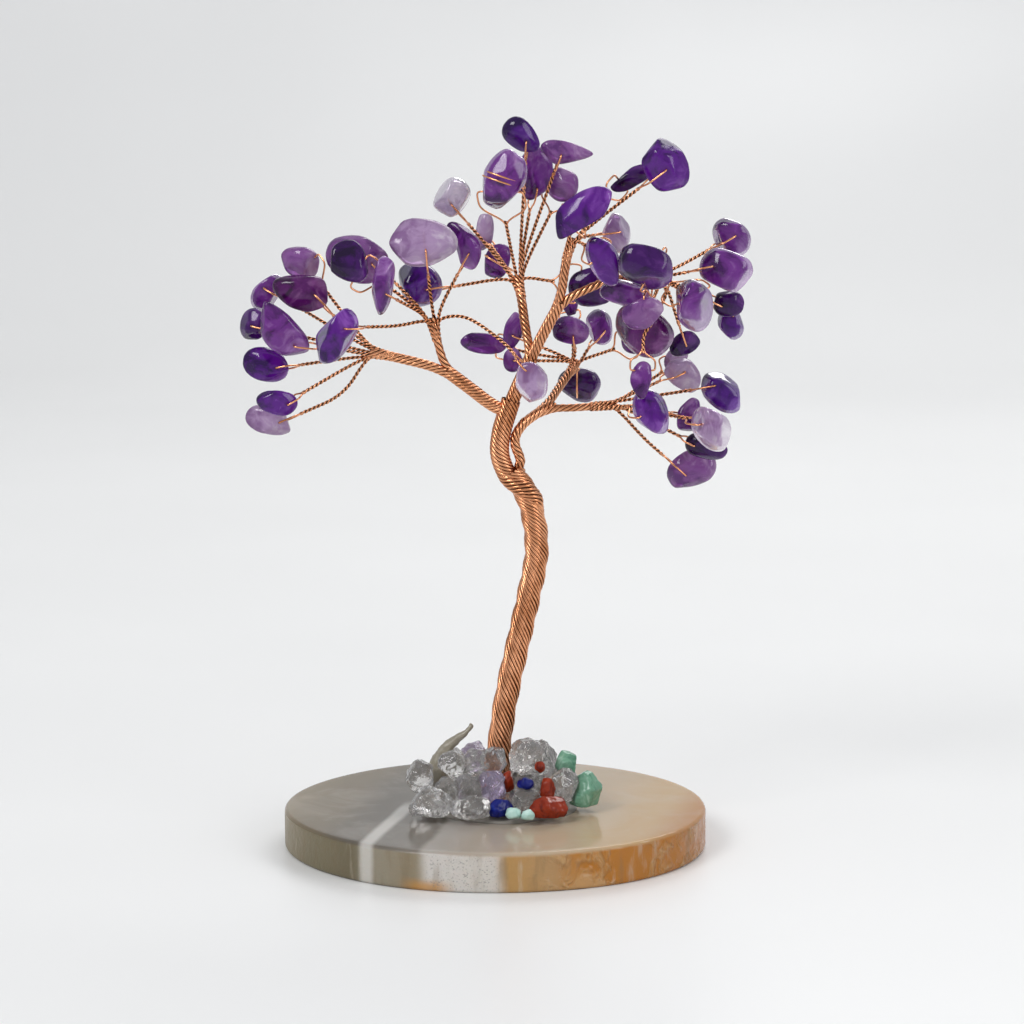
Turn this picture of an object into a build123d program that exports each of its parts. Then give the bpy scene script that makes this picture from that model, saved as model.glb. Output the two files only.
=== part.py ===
from build123d import *
import math
import os
from dataclasses import dataclass

# Gemstone tree ornament: amethyst chips on twisted copper wire, rooted in a heap of small stones
# on an agate slice. Millimetres, +Z up, -Y is the front, origin at the middle of the slab's underside.

# Agate slab
SLAB_WIDTH = 81.0
SLAB_DEPTH = 75.0
SLAB_THICKNESS = 7.5
SLAB_EDGE_ROUND = 0.8
SLAB_WAVE = 0.5  # how far the sawn outline strays from an oval
SLAB_WAVES = ((3, 0.6, 0.6), (5, 2.0, 0.4))  # waves round the outline, where each starts, its part of the stray
SLAB_OUTLINE_POINTS = 24

# Glue film and the root wires set in it
GLUE_WIDTH = 31.0
GLUE_DEPTH = 29.0
GLUE_COVER = 0.2  # glue above and below a root
GLUE_FORWARD = 1.5  # how far the film's middle lies in front of the trunk
ROOT_DIAMETER = 0.8
ROOT_LENGTH = 8.0
ROOT_COUNT = 6
ROOT_BEND = 0.8

# Copper bundles of the trunk
MAIN_DIAMETER = 3.2
SIDE_DIAMETER = 1.9
BUNDLE_GAP = 0.12
MAIN_SHARE = 0.35  # part of the spacing by which the main bundle stands off the trunk's axis
TWIST_PITCH = 14.0
TWIST_STEPS = 12  # points on one turn
TRUNK_ROUTE = [
    (0.5, 0.0),
    (0.6, 11.0),
    (2.2, 22.4),
    (4.3, 32.1),
    (6.4, 41.7),
    (7.6, 48.5),
    (7.3, 54.2),
    (5.8, 59.9),
    (2.8, 64.3),
]  # x and height above the slab

# Branches, thick to thin
LEFT_DIAMETER = 2.5
LEFT_TIP_DIAMETER = 1.9
LEFT_UPPER_DIAMETER = 1.6
CENTRE_DIAMETER = 2.8
CROWN_DIAMETER = 2.2
CROWN_BACK_DIAMETER = 1.8
RIGHT_UPPER_DIAMETER = 1.6
BACK_DIAMETER = 1.7
RIGHT_DIAMETER = 1.5
FORK_SWELL = 0.3  # how far a fork's knot stands out from the thickest wire in it
HUB_RADIUS = 2.0  # knot that a spray of twigs leaves from
SEAT_GAP = 0.03  # between a wire's end and the knot it is twisted into

# Twigs and their loops
WIRE_DIAMETER = 0.35
TWIG_DIAMETER = 0.75  # two wires twisted together
TWIG_SPACE = 0.15  # least gap between two twigs at their hub
TWIG_LEAD = 1.6  # straight start of a twig
NECK_LEAD = 1.0  # straight end of a twig
LEAD_SHARE = 0.4  # most of a short twig that its straight start takes up
NECK_SLOPE = 0.6  # how far a loop closes along the twig, as a part of its spread
SPREAD_STEP = 0.03  # by which two crowded twigs are turned apart at a time
SPREAD_TRIES = 300
LOOP_CLEARANCE = 0.25
LOOP_BEND = 0.4
HOLE_CLEARANCE = 0.06

# Amethyst chips
CHIP_ROUNDNESS = 2.3  # 2 is an oval, more is blunter
CHIP_FLATNESS = 0.62  # thickness as a part of width
CHIP_END = 0.985  # where the rounded ends stop, as a part of half the length
CHIP_STATIONS = (-CHIP_END, -0.8, -0.45, 0.0, 0.45, 0.8, CHIP_END)
HOLE_REACH = 0.55  # how far along its half length a chip hung by its end is drilled
SWING = 18.0  # degrees that a free chip turns each way
MEASURE_STEP = 0.05
GRIP_STEPS = 6  # places along the loop at which the chip's breadth is measured

# Base stones
STONE_GAP = 0.12
STONE_FACETS = 15
FACET_DEPTH = 0.9  # of a facet below the oval it is cut from, as a part of the oval
FACET_SPREAD = 0.08
FACET_TILT = 37.0
HORN_RADII = (2.2, 1.9, 1.3, 0.85, 0.4)
HORN_BULGE = 0.3  # how far the curved horn stands out from straight lines between its rings
HORN_ROUTE = [(-11.3, 3.0, 0.0), (-11.0, 3.4, 6.6), (-8.7, 3.6, 9.8), (-6.3, 3.6, 11.6), (-4.7, 3.6, 13.6)]

FINE_TURN = 4.0  # degrees under which a corner of a route counts as straight
ARC_SHARE = 0.45  # part of the shorter run that an arc takes up

slab_top = SLAB_THICKNESS
glue_thickness = ROOT_DIAMETER + 2 * (SEAT_GAP + GLUE_COVER)
bed_top = slab_top + glue_thickness
bundle_spacing = MAIN_DIAMETER / 2 + SIDE_DIAMETER / 2 + BUNDLE_GAP
main_offset = MAIN_SHARE * bundle_spacing
side_offset = bundle_spacing - main_offset
rope_radius = max(main_offset + MAIN_DIAMETER / 2, side_offset + SIDE_DIAMETER / 2)


@dataclass
class Chip:
    """One drilled amethyst chip, placed from the hub that its twig leaves."""

    spray: str
    name: str  # empty for a chip that is wedged among its neighbours
    reach: tuple  # from the hub to the middle of the chip
    length: float
    width: float
    lean: float  # of the long axis in the front view, degrees up from +X
    roll: float = 0.0  # about the long axis
    taper: float = 0.0  # above 0 the end that the lean points to is the fat one
    bow: float = 0.0  # bend of a bean
    via: tuple = ()  # bends of the twig, from the hub


CHIPS = [
    Chip("left_tip", "left_tip_upper_chip", (-13.7, 10.0, 15.9), 8.0, 6.2, -25, roll=15, taper=0.1),
    Chip("left_tip", "", (-13.0, 4.0, 10.8), 11.0, 7.2, -20, roll=-12, taper=0.3),
    Chip("left_tip", "", (-19.7, 12.0, 10.3), 8.2, 5.0, 55, roll=10),
    Chip("left_tip", "", (-22.1, 5.0, 4.5), 6.2, 5.0, 80, roll=-20),
    Chip("left_tip", "left_tip_bean_chip", (-15.9, -2.0, 4.4), 13.4, 6.6, -48, roll=8, bow=0.9),
    Chip("left_tip", "left_tip_rhombus_chip", (-19.5, 4.0, -3.1), 9.2, 6.2, -15, roll=-15, taper=-0.1),
    Chip("left_tip", "left_tip_vivid_chip", (-17.3, -3.0, -9.0), 7.6, 5.2, -8, roll=12),
    Chip("left_tip", "left_tip_pale_chip", (-19.0, 3.0, -13.3), 9.0, 6.0, -10, roll=-10, via=((-5.0, 1.0, -8.2),)),
    Chip("left_upper", "", (-13.8, 1.0, 11.1), 11.6, 9.0, -15, roll=5),
    Chip("left_upper", "", (-15.0, -5.8, 11.0), 8.6, 6.8, -45, roll=-10, taper=-0.25, via=((-7.0, -3.0, 5.5),)),
    Chip("left_upper", "", (-9.0, -6.8, 7.0), 11.0, 4.7, 85, roll=14, taper=0.25),
    Chip("left_upper", "left_big_pale_chip", (-1.7, -5.0, 14.5), 13.0, 8.6, -3, roll=-8, taper=-0.1),
    Chip("left_upper", "", (5.8, 2.0, 13.3), 9.8, 4.8, -68, roll=10, bow=-0.7),
    Chip("left_upper", "left_front_chip", (-17.8, -8.0, -2.4), 11.2, 6.6, 55, via=((-6.2, -3.0, -1.2),)),
    Chip(
        "left_upper",
        "trunk_front_chip",
        (18.5, -8.0, -11.2),
        8.8,
        6.0,
        -80,
        roll=6,
        taper=-0.2,
        via=((5.5, -1.0, 0.6), (8.9, -3.0, -0.8), (13.6, -5.0, -4.2)),
    ),
    Chip("crown_back", "", (-18.4, -1.0, -1.4), 9.2, 8.0, -40, roll=-15),
    Chip("crown_back", "crown_clear_chip", (-12.0, -2.0, 14.8), 8.0, 6.7, 65, roll=14),
    Chip("crown_back", "", (-6.1, 13.0, 7.1), 8.0, 3.6, 85, roll=-20),
    Chip("crown_back", "", (-3.6, 11.0, 1.7), 7.0, 5.3, 60, roll=10),
    Chip("crown_back", "crown_bell_chip", (-2.1, -8.0, 19.2), 12.0, 8.0, 70, roll=-8, taper=-0.25),
    Chip("crown_back", "", (3.6, 3.0, 19.0), 10.0, 6.5, 85, roll=15),
    Chip("crown_back", "", (8.7, 6.0, 17.2), 7.0, 6.0, 90, roll=-15),
    Chip("crown_back", "crown_top_chip", (1.1, -2.0, 26.6), 7.6, 5.6, -40, roll=10, taper=-0.15),
    Chip("crown_back", "crown_spike_chip", (9.2, -8.0, 23.9), 9.8, 4.2, -2, roll=12, taper=-0.4),
    Chip("crown_back", "", (14.3, 1.0, -2.0), 9.0, 7.8, -10, roll=12),
    Chip("crown", "crown_bright_chip", (1.5, -8.5, 5.3), 13.2, 6.6, 35, roll=-10),
    Chip("crown", "", (5.9, -7.0, -3.6), 9.8, 5.6, -65, roll=12),
    Chip("crown", "crown_pale_chip", (8.6, 3.0, 0.5), 7.8, 5.6, -75, roll=-12),
    Chip("crown", "", (11.2, 4.0, 10.8), 8.5, 4.0, 25, roll=20),
    Chip("crown", "crown_disc_chip", (17.2, -2.0, 13.6), 11.5, 8.0, -60, roll=-15),
    Chip("right_upper", "", (-3.5, -11.0, 3.1), 11.0, 8.4, -25, roll=8),
    Chip("right_upper", "", (-7.0, -5.5, -2.4), 9.6, 5.4, 0, roll=-10),
    Chip("right_upper", "", (-4.2, -10.5, -5.6), 7.8, 6.0, 8, roll=10),
    Chip("right_upper", "", (-3.7, -2.0, -9.9), 12.0, 9.0, -35, roll=-8),
    Chip("right_upper", "", (4.2, 4.0, -13.0), 6.3, 4.4, 25, roll=15),
    Chip("right_upper", "right_triangle_chip", (5.3, -7.0, -4.5), 10.0, 8.2, -75, roll=-10, taper=-0.3),
    Chip("right_upper", "right_upper_chip", (12.9, 5.0, 7.0), 7.8, 6.6, -60, roll=15),
    Chip("right_upper", "right_round_chip", (11.8, -0.6, 1.25), 10.0, 8.2, -15, roll=-10),
    Chip("right_upper", "", (12.4, 4.0, -5.5), 6.0, 5.2, -10, roll=12),
    Chip("right_upper", "", (13.1, 9.0, -9.4), 6.8, 5.0, -70, roll=-15),
    Chip(
        "right_upper",
        "right_dangling_chip",
        (-4.0, -6.0, -18.7),
        7.0,
        4.4,
        88,
        roll=10,
        via=((0.6, -3.5, -2.9), (-2.1, -5.6, -7.8), (-3.8, -5.8, -10.1)),
    ),
    Chip("back", "", (-1.6, -4.5, 7.0), 7.8, 5.4, -15, roll=10),
    Chip("back", "back_right_chip", (4.5, 4.0, 6.5), 7.0, 5.2, -75, roll=-12),
    Chip("back", "back_low_chip", (0.7, 7.0, -5.2), 8.6, 7.0, -10, roll=14),
    Chip("back", "", (-12.3, 1.0, 6.1), 7.4, 3.8, 85, roll=-10),
    Chip("back", "", (-12.3, -1.0, 0.7), 4.6, 3.8, 85, roll=15),
    Chip("back", "back_left_chip", (-17.8, 6.0, 3.0), 9.4, 4.3, -10, roll=8, via=((-6.9, 1.0, 1.3),)),
    Chip("back", "", (-1.3, 5.0, 10.5), 4.6, 3.2, 85, roll=-15),
    Chip("back", "", (11.9, -6.0, 5.2), 6.8, 5.6, 20, roll=10),
    Chip("right", "low_right_vivid_chip", (7.3, -7.0, -0.7), 9.4, 6.4, -65, roll=-10),
    Chip("right", "low_right_pale_chip", (18.7, -9.0, -3.3), 9.4, 7.0, -50, roll=12, via=((10.5, -2.4, -1.8),)),
    Chip("right", "low_right_indigo_chip", (20.8, -4.0, 3.0), 9.4, 6.6, -45, roll=-14),
    Chip("right", "", (18.0, -2.0, -7.9), 8.0, 5.4, -15, roll=10),
    Chip("right", "low_right_bottom_chip", (15.1, 4.0, -13.3), 10.0, 7.2, 25, roll=-8, via=((6.2, 2.0, -6.9),)),
    Chip("right", "", (13.5, 7.0, 4.8), 8.0, 6.0, -50, roll=15),
    Chip("right", "", (12.8, 12.5, 6.8), 5.2, 4.4, 60, roll=-10),
    Chip("right", "", (14.9, 3.0, -2.7), 7.0, 5.0, 80, roll=12),
]


@dataclass
class Stone:
    """One base stone, placed by its middle above the glue, with its half sizes."""

    kind: str
    place: tuple
    half: tuple
    turn: float = 0.0


STONES = [
    Stone("clear_quartz", (-14.5, -2.0, 4.5), (2.4, 3.2, 3.7), 10),
    Stone("clear_quartz", (-12.2, -12.5, 1.6), (4.4, 3.8, 3.2), 25),
    Stone("clear_quartz", (-8.2, -4.0, 7.7), (2.6, 3.0, 2.7), 40),
    Stone("clear_quartz", (-4.0, -3.5, 8.3), (2.5, 2.6, 2.5), 0),
    Stone("clear_quartz", (-0.4, -6.0, 8.6), (2.4, 2.6, 2.9), 15),
    Stone("clear_quartz", (5.7, -5.0, 9.3), (3.5, 3.3, 3.6), 30),
    Stone("clear_quartz", (7.2, 2.5, 6.3), (4.4, 3.8, 4.8), 0),
    Stone("clear_quartz", (-8.9, -9.0, 3.5), (2.7, 3.0, 2.9), 20),
    Stone("clear_quartz", (-4.9, -9.5, 4.0), (3.2, 3.0, 3.4), 55),
    Stone("clear_quartz", (-4.5, -15.0, 1.2), (4.0, 2.6, 2.7), 5),
    Stone("violet_quartz", (-0.8, -9.5, 4.9), (2.8, 2.9, 3.2), 35),
    Stone("clear_quartz", (5.6, -11.0, 2.2), (3.0, 3.0, 2.8), 70),
    Stone("clear_quartz", (12.8, -6.5, 4.0), (2.8, 3.4, 3.6), 15),
    Stone("violet_quartz", (-4.3, 1.5, 8.9), (2.4, 2.5, 1.3), 20),
    Stone("lapis", (0.7, -13.5, 0.9), (2.8, 2.4, 2.5), 30),
    Stone("lapis", (5.6, -10.5, 5.2), (1.7, 1.6, 1.4), 0),
    Stone("amazonite", (3.2, -16.0, 0.9), (1.8, 1.3, 1.2), -20),
    Stone("amazonite", (6.0, -17.0, 0.7), (1.3, 1.4, 1.4), -60),
    Stone("red_jasper", (9.6, -10.5, 4.2), (1.3, 1.9, 2.8), 0),
    Stone("red_jasper", (9.9, -14.0, 1.2), (4.0, 2.8, 2.6), 10),
    Stone("red_jasper", (8.2, -8.3, 8.0), (1.0, 1.4, 1.3), 0),
    Stone("red_jasper", (2.2, -8.6, 5.4), (1.1, 1.8, 2.3), 0),
    Stone("aventurine", (13.3, -1.5, 7.0), (2.1, 2.8, 2.7), 0),
    Stone("aventurine", (16.8, -5.5, 2.6), (2.8, 3.6, 4.3), -15),
]

# Stones that the front view hides, in rings round the trunk's foot
@dataclass
class Ring:
    """Alike stones spread round the trunk's foot, from one angle to another."""

    count: int
    width: float  # half the ring's size along X
    depth: float  # half the ring's size along Y
    height: float
    first: float
    last: float
    half: tuple
    turn: float  # from each stone to the next


RINGS = [
    Ring(count=7, width=12.5, depth=11.0, height=2.2, first=12, last=168, half=(3.4, 3.0, 3.0), turn=40),
    Ring(count=6, width=6.4, depth=6.4, height=2.6, first=30, last=330, half=(3.0, 2.8, 3.4), turn=65),
    Ring(count=3, width=5.2, depth=5.2, height=6.8, first=55, last=145, half=(2.8, 2.4, 2.6), turn=50),
]


def ring_stones():
    """The hidden stones, all clear quartz."""
    found = []
    for ring in RINGS:
        for i in range(ring.count):
            angle = math.radians(ring.first + (ring.last - ring.first) * i / (ring.count - 1))
            x = TRUNK_ROUTE[0][0] + ring.width * math.cos(angle)
            y = ring.depth * math.sin(angle)
            found.append(Stone("clear_quartz", (x, y, ring.height), ring.half, ring.turn * i))
    return found


def above_slab(x, y, z):
    return Vector(x, y, slab_top + z)


def bent_path(points, largest_cut=math.inf):
    """Straight runs joined by tangent arcs, each arc as large as its two runs and the limit allow."""
    corners = [points[0]]
    for here, after in zip(points[1:], points[2:]):
        if (here - corners[-1]).get_angle(after - here) > FINE_TURN:
            corners.append(here)
    corners.append(points[-1])
    edges = []
    reached = corners[0]
    for before, here, after in zip(corners, corners[1:], corners[2:]):
        coming = (here - before).normalized()
        going = (after - here).normalized()
        half_turn = math.radians(coming.get_angle(going)) / 2
        cut = min(largest_cut, ARC_SHARE * min((here - before).length, (after - here).length))
        depth = cut / math.tan(half_turn) * (1 / math.cos(half_turn) - 1)
        arc_start = here - coming * cut
        arc_end = here + going * cut
        arc_middle = here + (going - coming).normalized() * depth
        edges.append(Line(reached, arc_start))
        edges.append(ThreePointArc(arc_start, arc_middle, arc_end))
        reached = arc_end
    edges.append(Line(reached, corners[-1]))
    return Wire(edges)


def tube(points, diameter, largest_cut=math.inf):
    """A round wire swept along a bent path."""
    path = bent_path(points, largest_cut)
    start = Plane(origin=path @ 0, z_dir=path % 0)
    return sweep(start * Circle(diameter / 2), path=path)


def ball(middle, radius):
    """A knot, turned so that its seam faces the back, where no branch arrives."""
    return Pos(*middle) * Rot(0, 0, 90) * Sphere(radius)


def offsets(start, steps):
    """Points given as steps from one start, with the start first."""
    return [start] + [start + Vector(*step) for step in steps]


def oval_outline(width, depth, wave):
    """A closed outline near an oval, waving in and out as a sawn slice does."""
    points = []
    for i in range(SLAB_OUTLINE_POINTS):
        angle = 2 * math.pi * i / SLAB_OUTLINE_POINTS
        stray = -wave * (1 + sum(part * math.sin(n * angle + start) for n, start, part in SLAB_WAVES)) / 2
        points.append(((width / 2 + stray) * math.cos(angle), (depth / 2 + stray) * math.sin(angle)))
    return make_face(Spline(*points, periodic=True))


def agate_slab():
    slab = extrude(oval_outline(SLAB_WIDTH, SLAB_DEPTH, SLAB_WAVE), SLAB_THICKNESS)
    return fillet(slab.edges().filter_by(Plane.XY), SLAB_EDGE_ROUND)


def foot():
    return above_slab(TRUNK_ROUTE[0][0], 0, 0)


def root_paths():
    """Root wires run out level from the trunk's foot, each with a slight bend."""
    paths = []
    for i in range(ROOT_COUNT):
        angle = 2 * math.pi * (i + 0.25) / ROOT_COUNT
        out = Vector(math.cos(angle), math.sin(angle), 0)
        across = Vector(-out.Y, out.X, 0)
        start = foot() + Vector(0, 0, glue_thickness / 2) + out * (rope_radius + SEAT_GAP)
        bend = start + out * (ROOT_LENGTH / 2)
        end = start + out * ROOT_LENGTH + across * (ROOT_BEND * (-1) ** i)
        paths.append([start, bend, end])
    return paths


def root_wires():
    return [tube(path, ROOT_DIAMETER) for path in root_paths()]


def glue_film():
    """A clear film on the slab, with the trunk's foot through it and the roots inside it."""
    film = above_slab(foot().X, -GLUE_FORWARD, 0)
    film = Pos(*film) * extrude(Ellipse(GLUE_WIDTH / 2, GLUE_DEPTH / 2), glue_thickness)
    well = Pos(*foot()) * Cylinder(rope_radius + SEAT_GAP, 3 * glue_thickness)
    film = film - well
    for start, bend, end in root_paths():
        film = film - tube([foot() + Vector(0, 0, glue_thickness / 2), bend, end], ROOT_DIAMETER + 2 * SEAT_GAP)
    return film


def twisted_bundles():
    """Points of the two bundles, wound round the trunk's axis from below the slab's top up to the eye."""
    axis = Spline(*[above_slab(x, 0, z) for x, z in TRUNK_ROUTE])
    turns = axis.length / TWIST_PITCH
    count = math.ceil(turns * TWIST_STEPS)
    main, side = [], []
    for i in range(count + 1):
        share = i / count
        along = axis % share
        across = along.cross(Vector(0, 1, 0)).normalized() * -1
        angle = math.pi + 2 * math.pi * turns * (1 - share)
        away = across * math.cos(angle) + Vector(0, 1, 0) * math.sin(angle)
        main.append(axis @ share + away * main_offset)
        side.append(axis @ share - away * side_offset)
    return main, side


# Forks and hubs, each placed from the one before it
FORK = above_slab(2.2, 0.0, 75.9)
SIDE_FORK = above_slab(9.4, 3.0, 76.1)
LEFT_FORK = FORK + Vector(-11.4, -1.0, 7.7)
CENTRE_FORK = FORK + Vector(4.4, -1.0, 10.2)
RIGHT_FORK = CENTRE_FORK + Vector(5.5, -2.0, 10.7)
HUBS = {
    "left_tip": LEFT_FORK + Vector(-14.3, -1.0, 3.7),
    "left_upper": LEFT_FORK + Vector(-2.7, 0.0, 10.0),
    "crown_back": CENTRE_FORK + Vector(-2.8, 7.0, 14.5),
    "crown": CENTRE_FORK + Vector(7.5, -3.0, 22.7),
    "right_upper": RIGHT_FORK + Vector(19.0, 0.0, 4.7),
    "back": SIDE_FORK + Vector(6.1, 17.0, 6.4),
    "right": SIDE_FORK + Vector(12.5, 3.0, 0.3),
}

main_turns, side_turns = twisted_bundles()
MAIN_TOP = [above_slab(0.5, 0, 67.6), above_slab(0.9, 0, 71.9), FORK]
SIDE_TOP = [above_slab(4.6, 0, 66.9), above_slab(4.7, 1.0, 70.4), above_slab(6.0, 2.0, 73.4), SIDE_FORK]
ROUTES = {
    "trunk_main_bundle": main_turns + MAIN_TOP,
    "trunk_side_bundle": side_turns + SIDE_TOP,
    "left": offsets(FORK, [(-2.6, 0, 0.8), (-7.1, -1.0, 4.5)]) + [LEFT_FORK],
    "left_tip": offsets(LEFT_FORK, [(-6.9, -1.0, 2.2)]) + [HUBS["left_tip"]],
    "left_upper": offsets(LEFT_FORK, [(-1.6, 0, 4.6)]) + [HUBS["left_upper"]],
    "centre": offsets(FORK, [(1.5, 0, 3.6), (3.2, -1.0, 7.5)]) + [CENTRE_FORK],
    "crown_back": offsets(CENTRE_FORK, [(-1.2, 2.0, 6.0), (-1.9, 5.0, 11.3)]) + [HUBS["crown_back"]],
    "crown_lower": offsets(CENTRE_FORK, [(2.6, -1.0, 5.4)]) + [RIGHT_FORK],
    "crown": offsets(RIGHT_FORK, [(0.8, -1.0, 7.6)]) + [HUBS["crown"]],
    "right_upper": offsets(RIGHT_FORK, [(4.5, 0, 2.3), (10.4, 0.2, 4.7)]) + [HUBS["right_upper"]],
    "back": offsets(SIDE_FORK, [(2.8, 9.0, 3.2)]) + [HUBS["back"]],
    "right": offsets(SIDE_FORK, [(6.4, 1.0, -0.2)]) + [HUBS["right"]],
}


def fork_radius(*diameters):
    return max(diameters) / 2 + FORK_SWELL


def on_slab(bundle):
    """Cuts a bundle's foot off level where it stands on the slab."""
    return split(bundle, bisect_by=Plane.XY.offset(slab_top), keep=Keep.TOP)


def below_slab_top(points):
    """Runs a bundle's first turn on below the slab's top, so that its foot can be cut off level."""
    first = points[0]
    return [first + (first - points[1])] + points


def leaving(route, diameter, knot, beside=(), beside_diameter=0.0):
    """A branch's route, started just clear of its fork's knot and of a wire that leaves beside it."""
    way = (route[1] - route[0]).normalized()
    start = knot + SEAT_GAP
    if beside:
        turn = math.radians(way.get_angle(beside[1] - beside[0]))
        clear = beside_diameter / 2 + SEAT_GAP + diameter / 2 * math.cos(turn)
        start = max(start, clear / math.sin(turn))
    return [route[0] + way * start] + route[1:]


def branches():
    """Every bundle and branch, with the knots that its own wires end or part in."""
    made = {}
    fork_ball = fork_radius(MAIN_DIAMETER, CENTRE_DIAMETER)
    main = tube(below_slab_top(ROUTES["trunk_main_bundle"]), MAIN_DIAMETER)
    made["trunk_main_bundle"] = on_slab(main) + ball(FORK, fork_ball)
    side_ball = fork_radius(SIDE_DIAMETER, BACK_DIAMETER)
    side = tube(below_slab_top(ROUTES["trunk_side_bundle"]), SIDE_DIAMETER)
    made["trunk_side_bundle"] = on_slab(side) + ball(SIDE_FORK, side_ball)

    left_ball = fork_radius(LEFT_DIAMETER)
    left = tube(leaving(ROUTES["left"], LEFT_DIAMETER, fork_ball), LEFT_DIAMETER) + ball(LEFT_FORK, left_ball)
    left = left + tube(ROUTES["left_tip"], LEFT_TIP_DIAMETER)
    made["left_branch"] = left + ball(HUBS["left_tip"], HUB_RADIUS)

    route = leaving(ROUTES["left_upper"], LEFT_UPPER_DIAMETER, left_ball, ROUTES["left_tip"], LEFT_TIP_DIAMETER)
    made["left_upper_branch"] = tube(route, LEFT_UPPER_DIAMETER) + ball(HUBS["left_upper"], HUB_RADIUS)

    centre_ball = fork_radius(CENTRE_DIAMETER)
    route = leaving(ROUTES["centre"], CENTRE_DIAMETER, fork_ball)
    made["centre_branch"] = tube(route, CENTRE_DIAMETER) + ball(CENTRE_FORK, centre_ball)

    right_ball = fork_radius(CROWN_DIAMETER)
    route = leaving(ROUTES["crown_lower"], CROWN_DIAMETER, centre_ball)
    crown = tube(route, CROWN_DIAMETER) + ball(RIGHT_FORK, right_ball)
    crown = crown + tube(ROUTES["crown"], CROWN_BACK_DIAMETER)
    made["crown_branch"] = crown + ball(HUBS["crown"], HUB_RADIUS)

    route = leaving(ROUTES["crown_back"], CROWN_BACK_DIAMETER, centre_ball, ROUTES["crown_lower"], CROWN_DIAMETER)
    made["crown_back_branch"] = tube(route, CROWN_BACK_DIAMETER) + ball(HUBS["crown_back"], HUB_RADIUS)

    route = leaving(ROUTES["right_upper"], RIGHT_UPPER_DIAMETER, right_ball, ROUTES["crown"], CROWN_BACK_DIAMETER)
    made["right_upper_branch"] = tube(route, RIGHT_UPPER_DIAMETER) + ball(HUBS["right_upper"], HUB_RADIUS)

    route = leaving(ROUTES["back"], BACK_DIAMETER, side_ball)
    made["back_branch"] = tube(route, BACK_DIAMETER) + ball(HUBS["back"], HUB_RADIUS)

    route = leaving(ROUTES["right"], RIGHT_DIAMETER, side_ball, ROUTES["back"], BACK_DIAMETER)
    made["right_branch"] = tube(route, RIGHT_DIAMETER) + ball(HUBS["right"], HUB_RADIUS)
    return made


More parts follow.
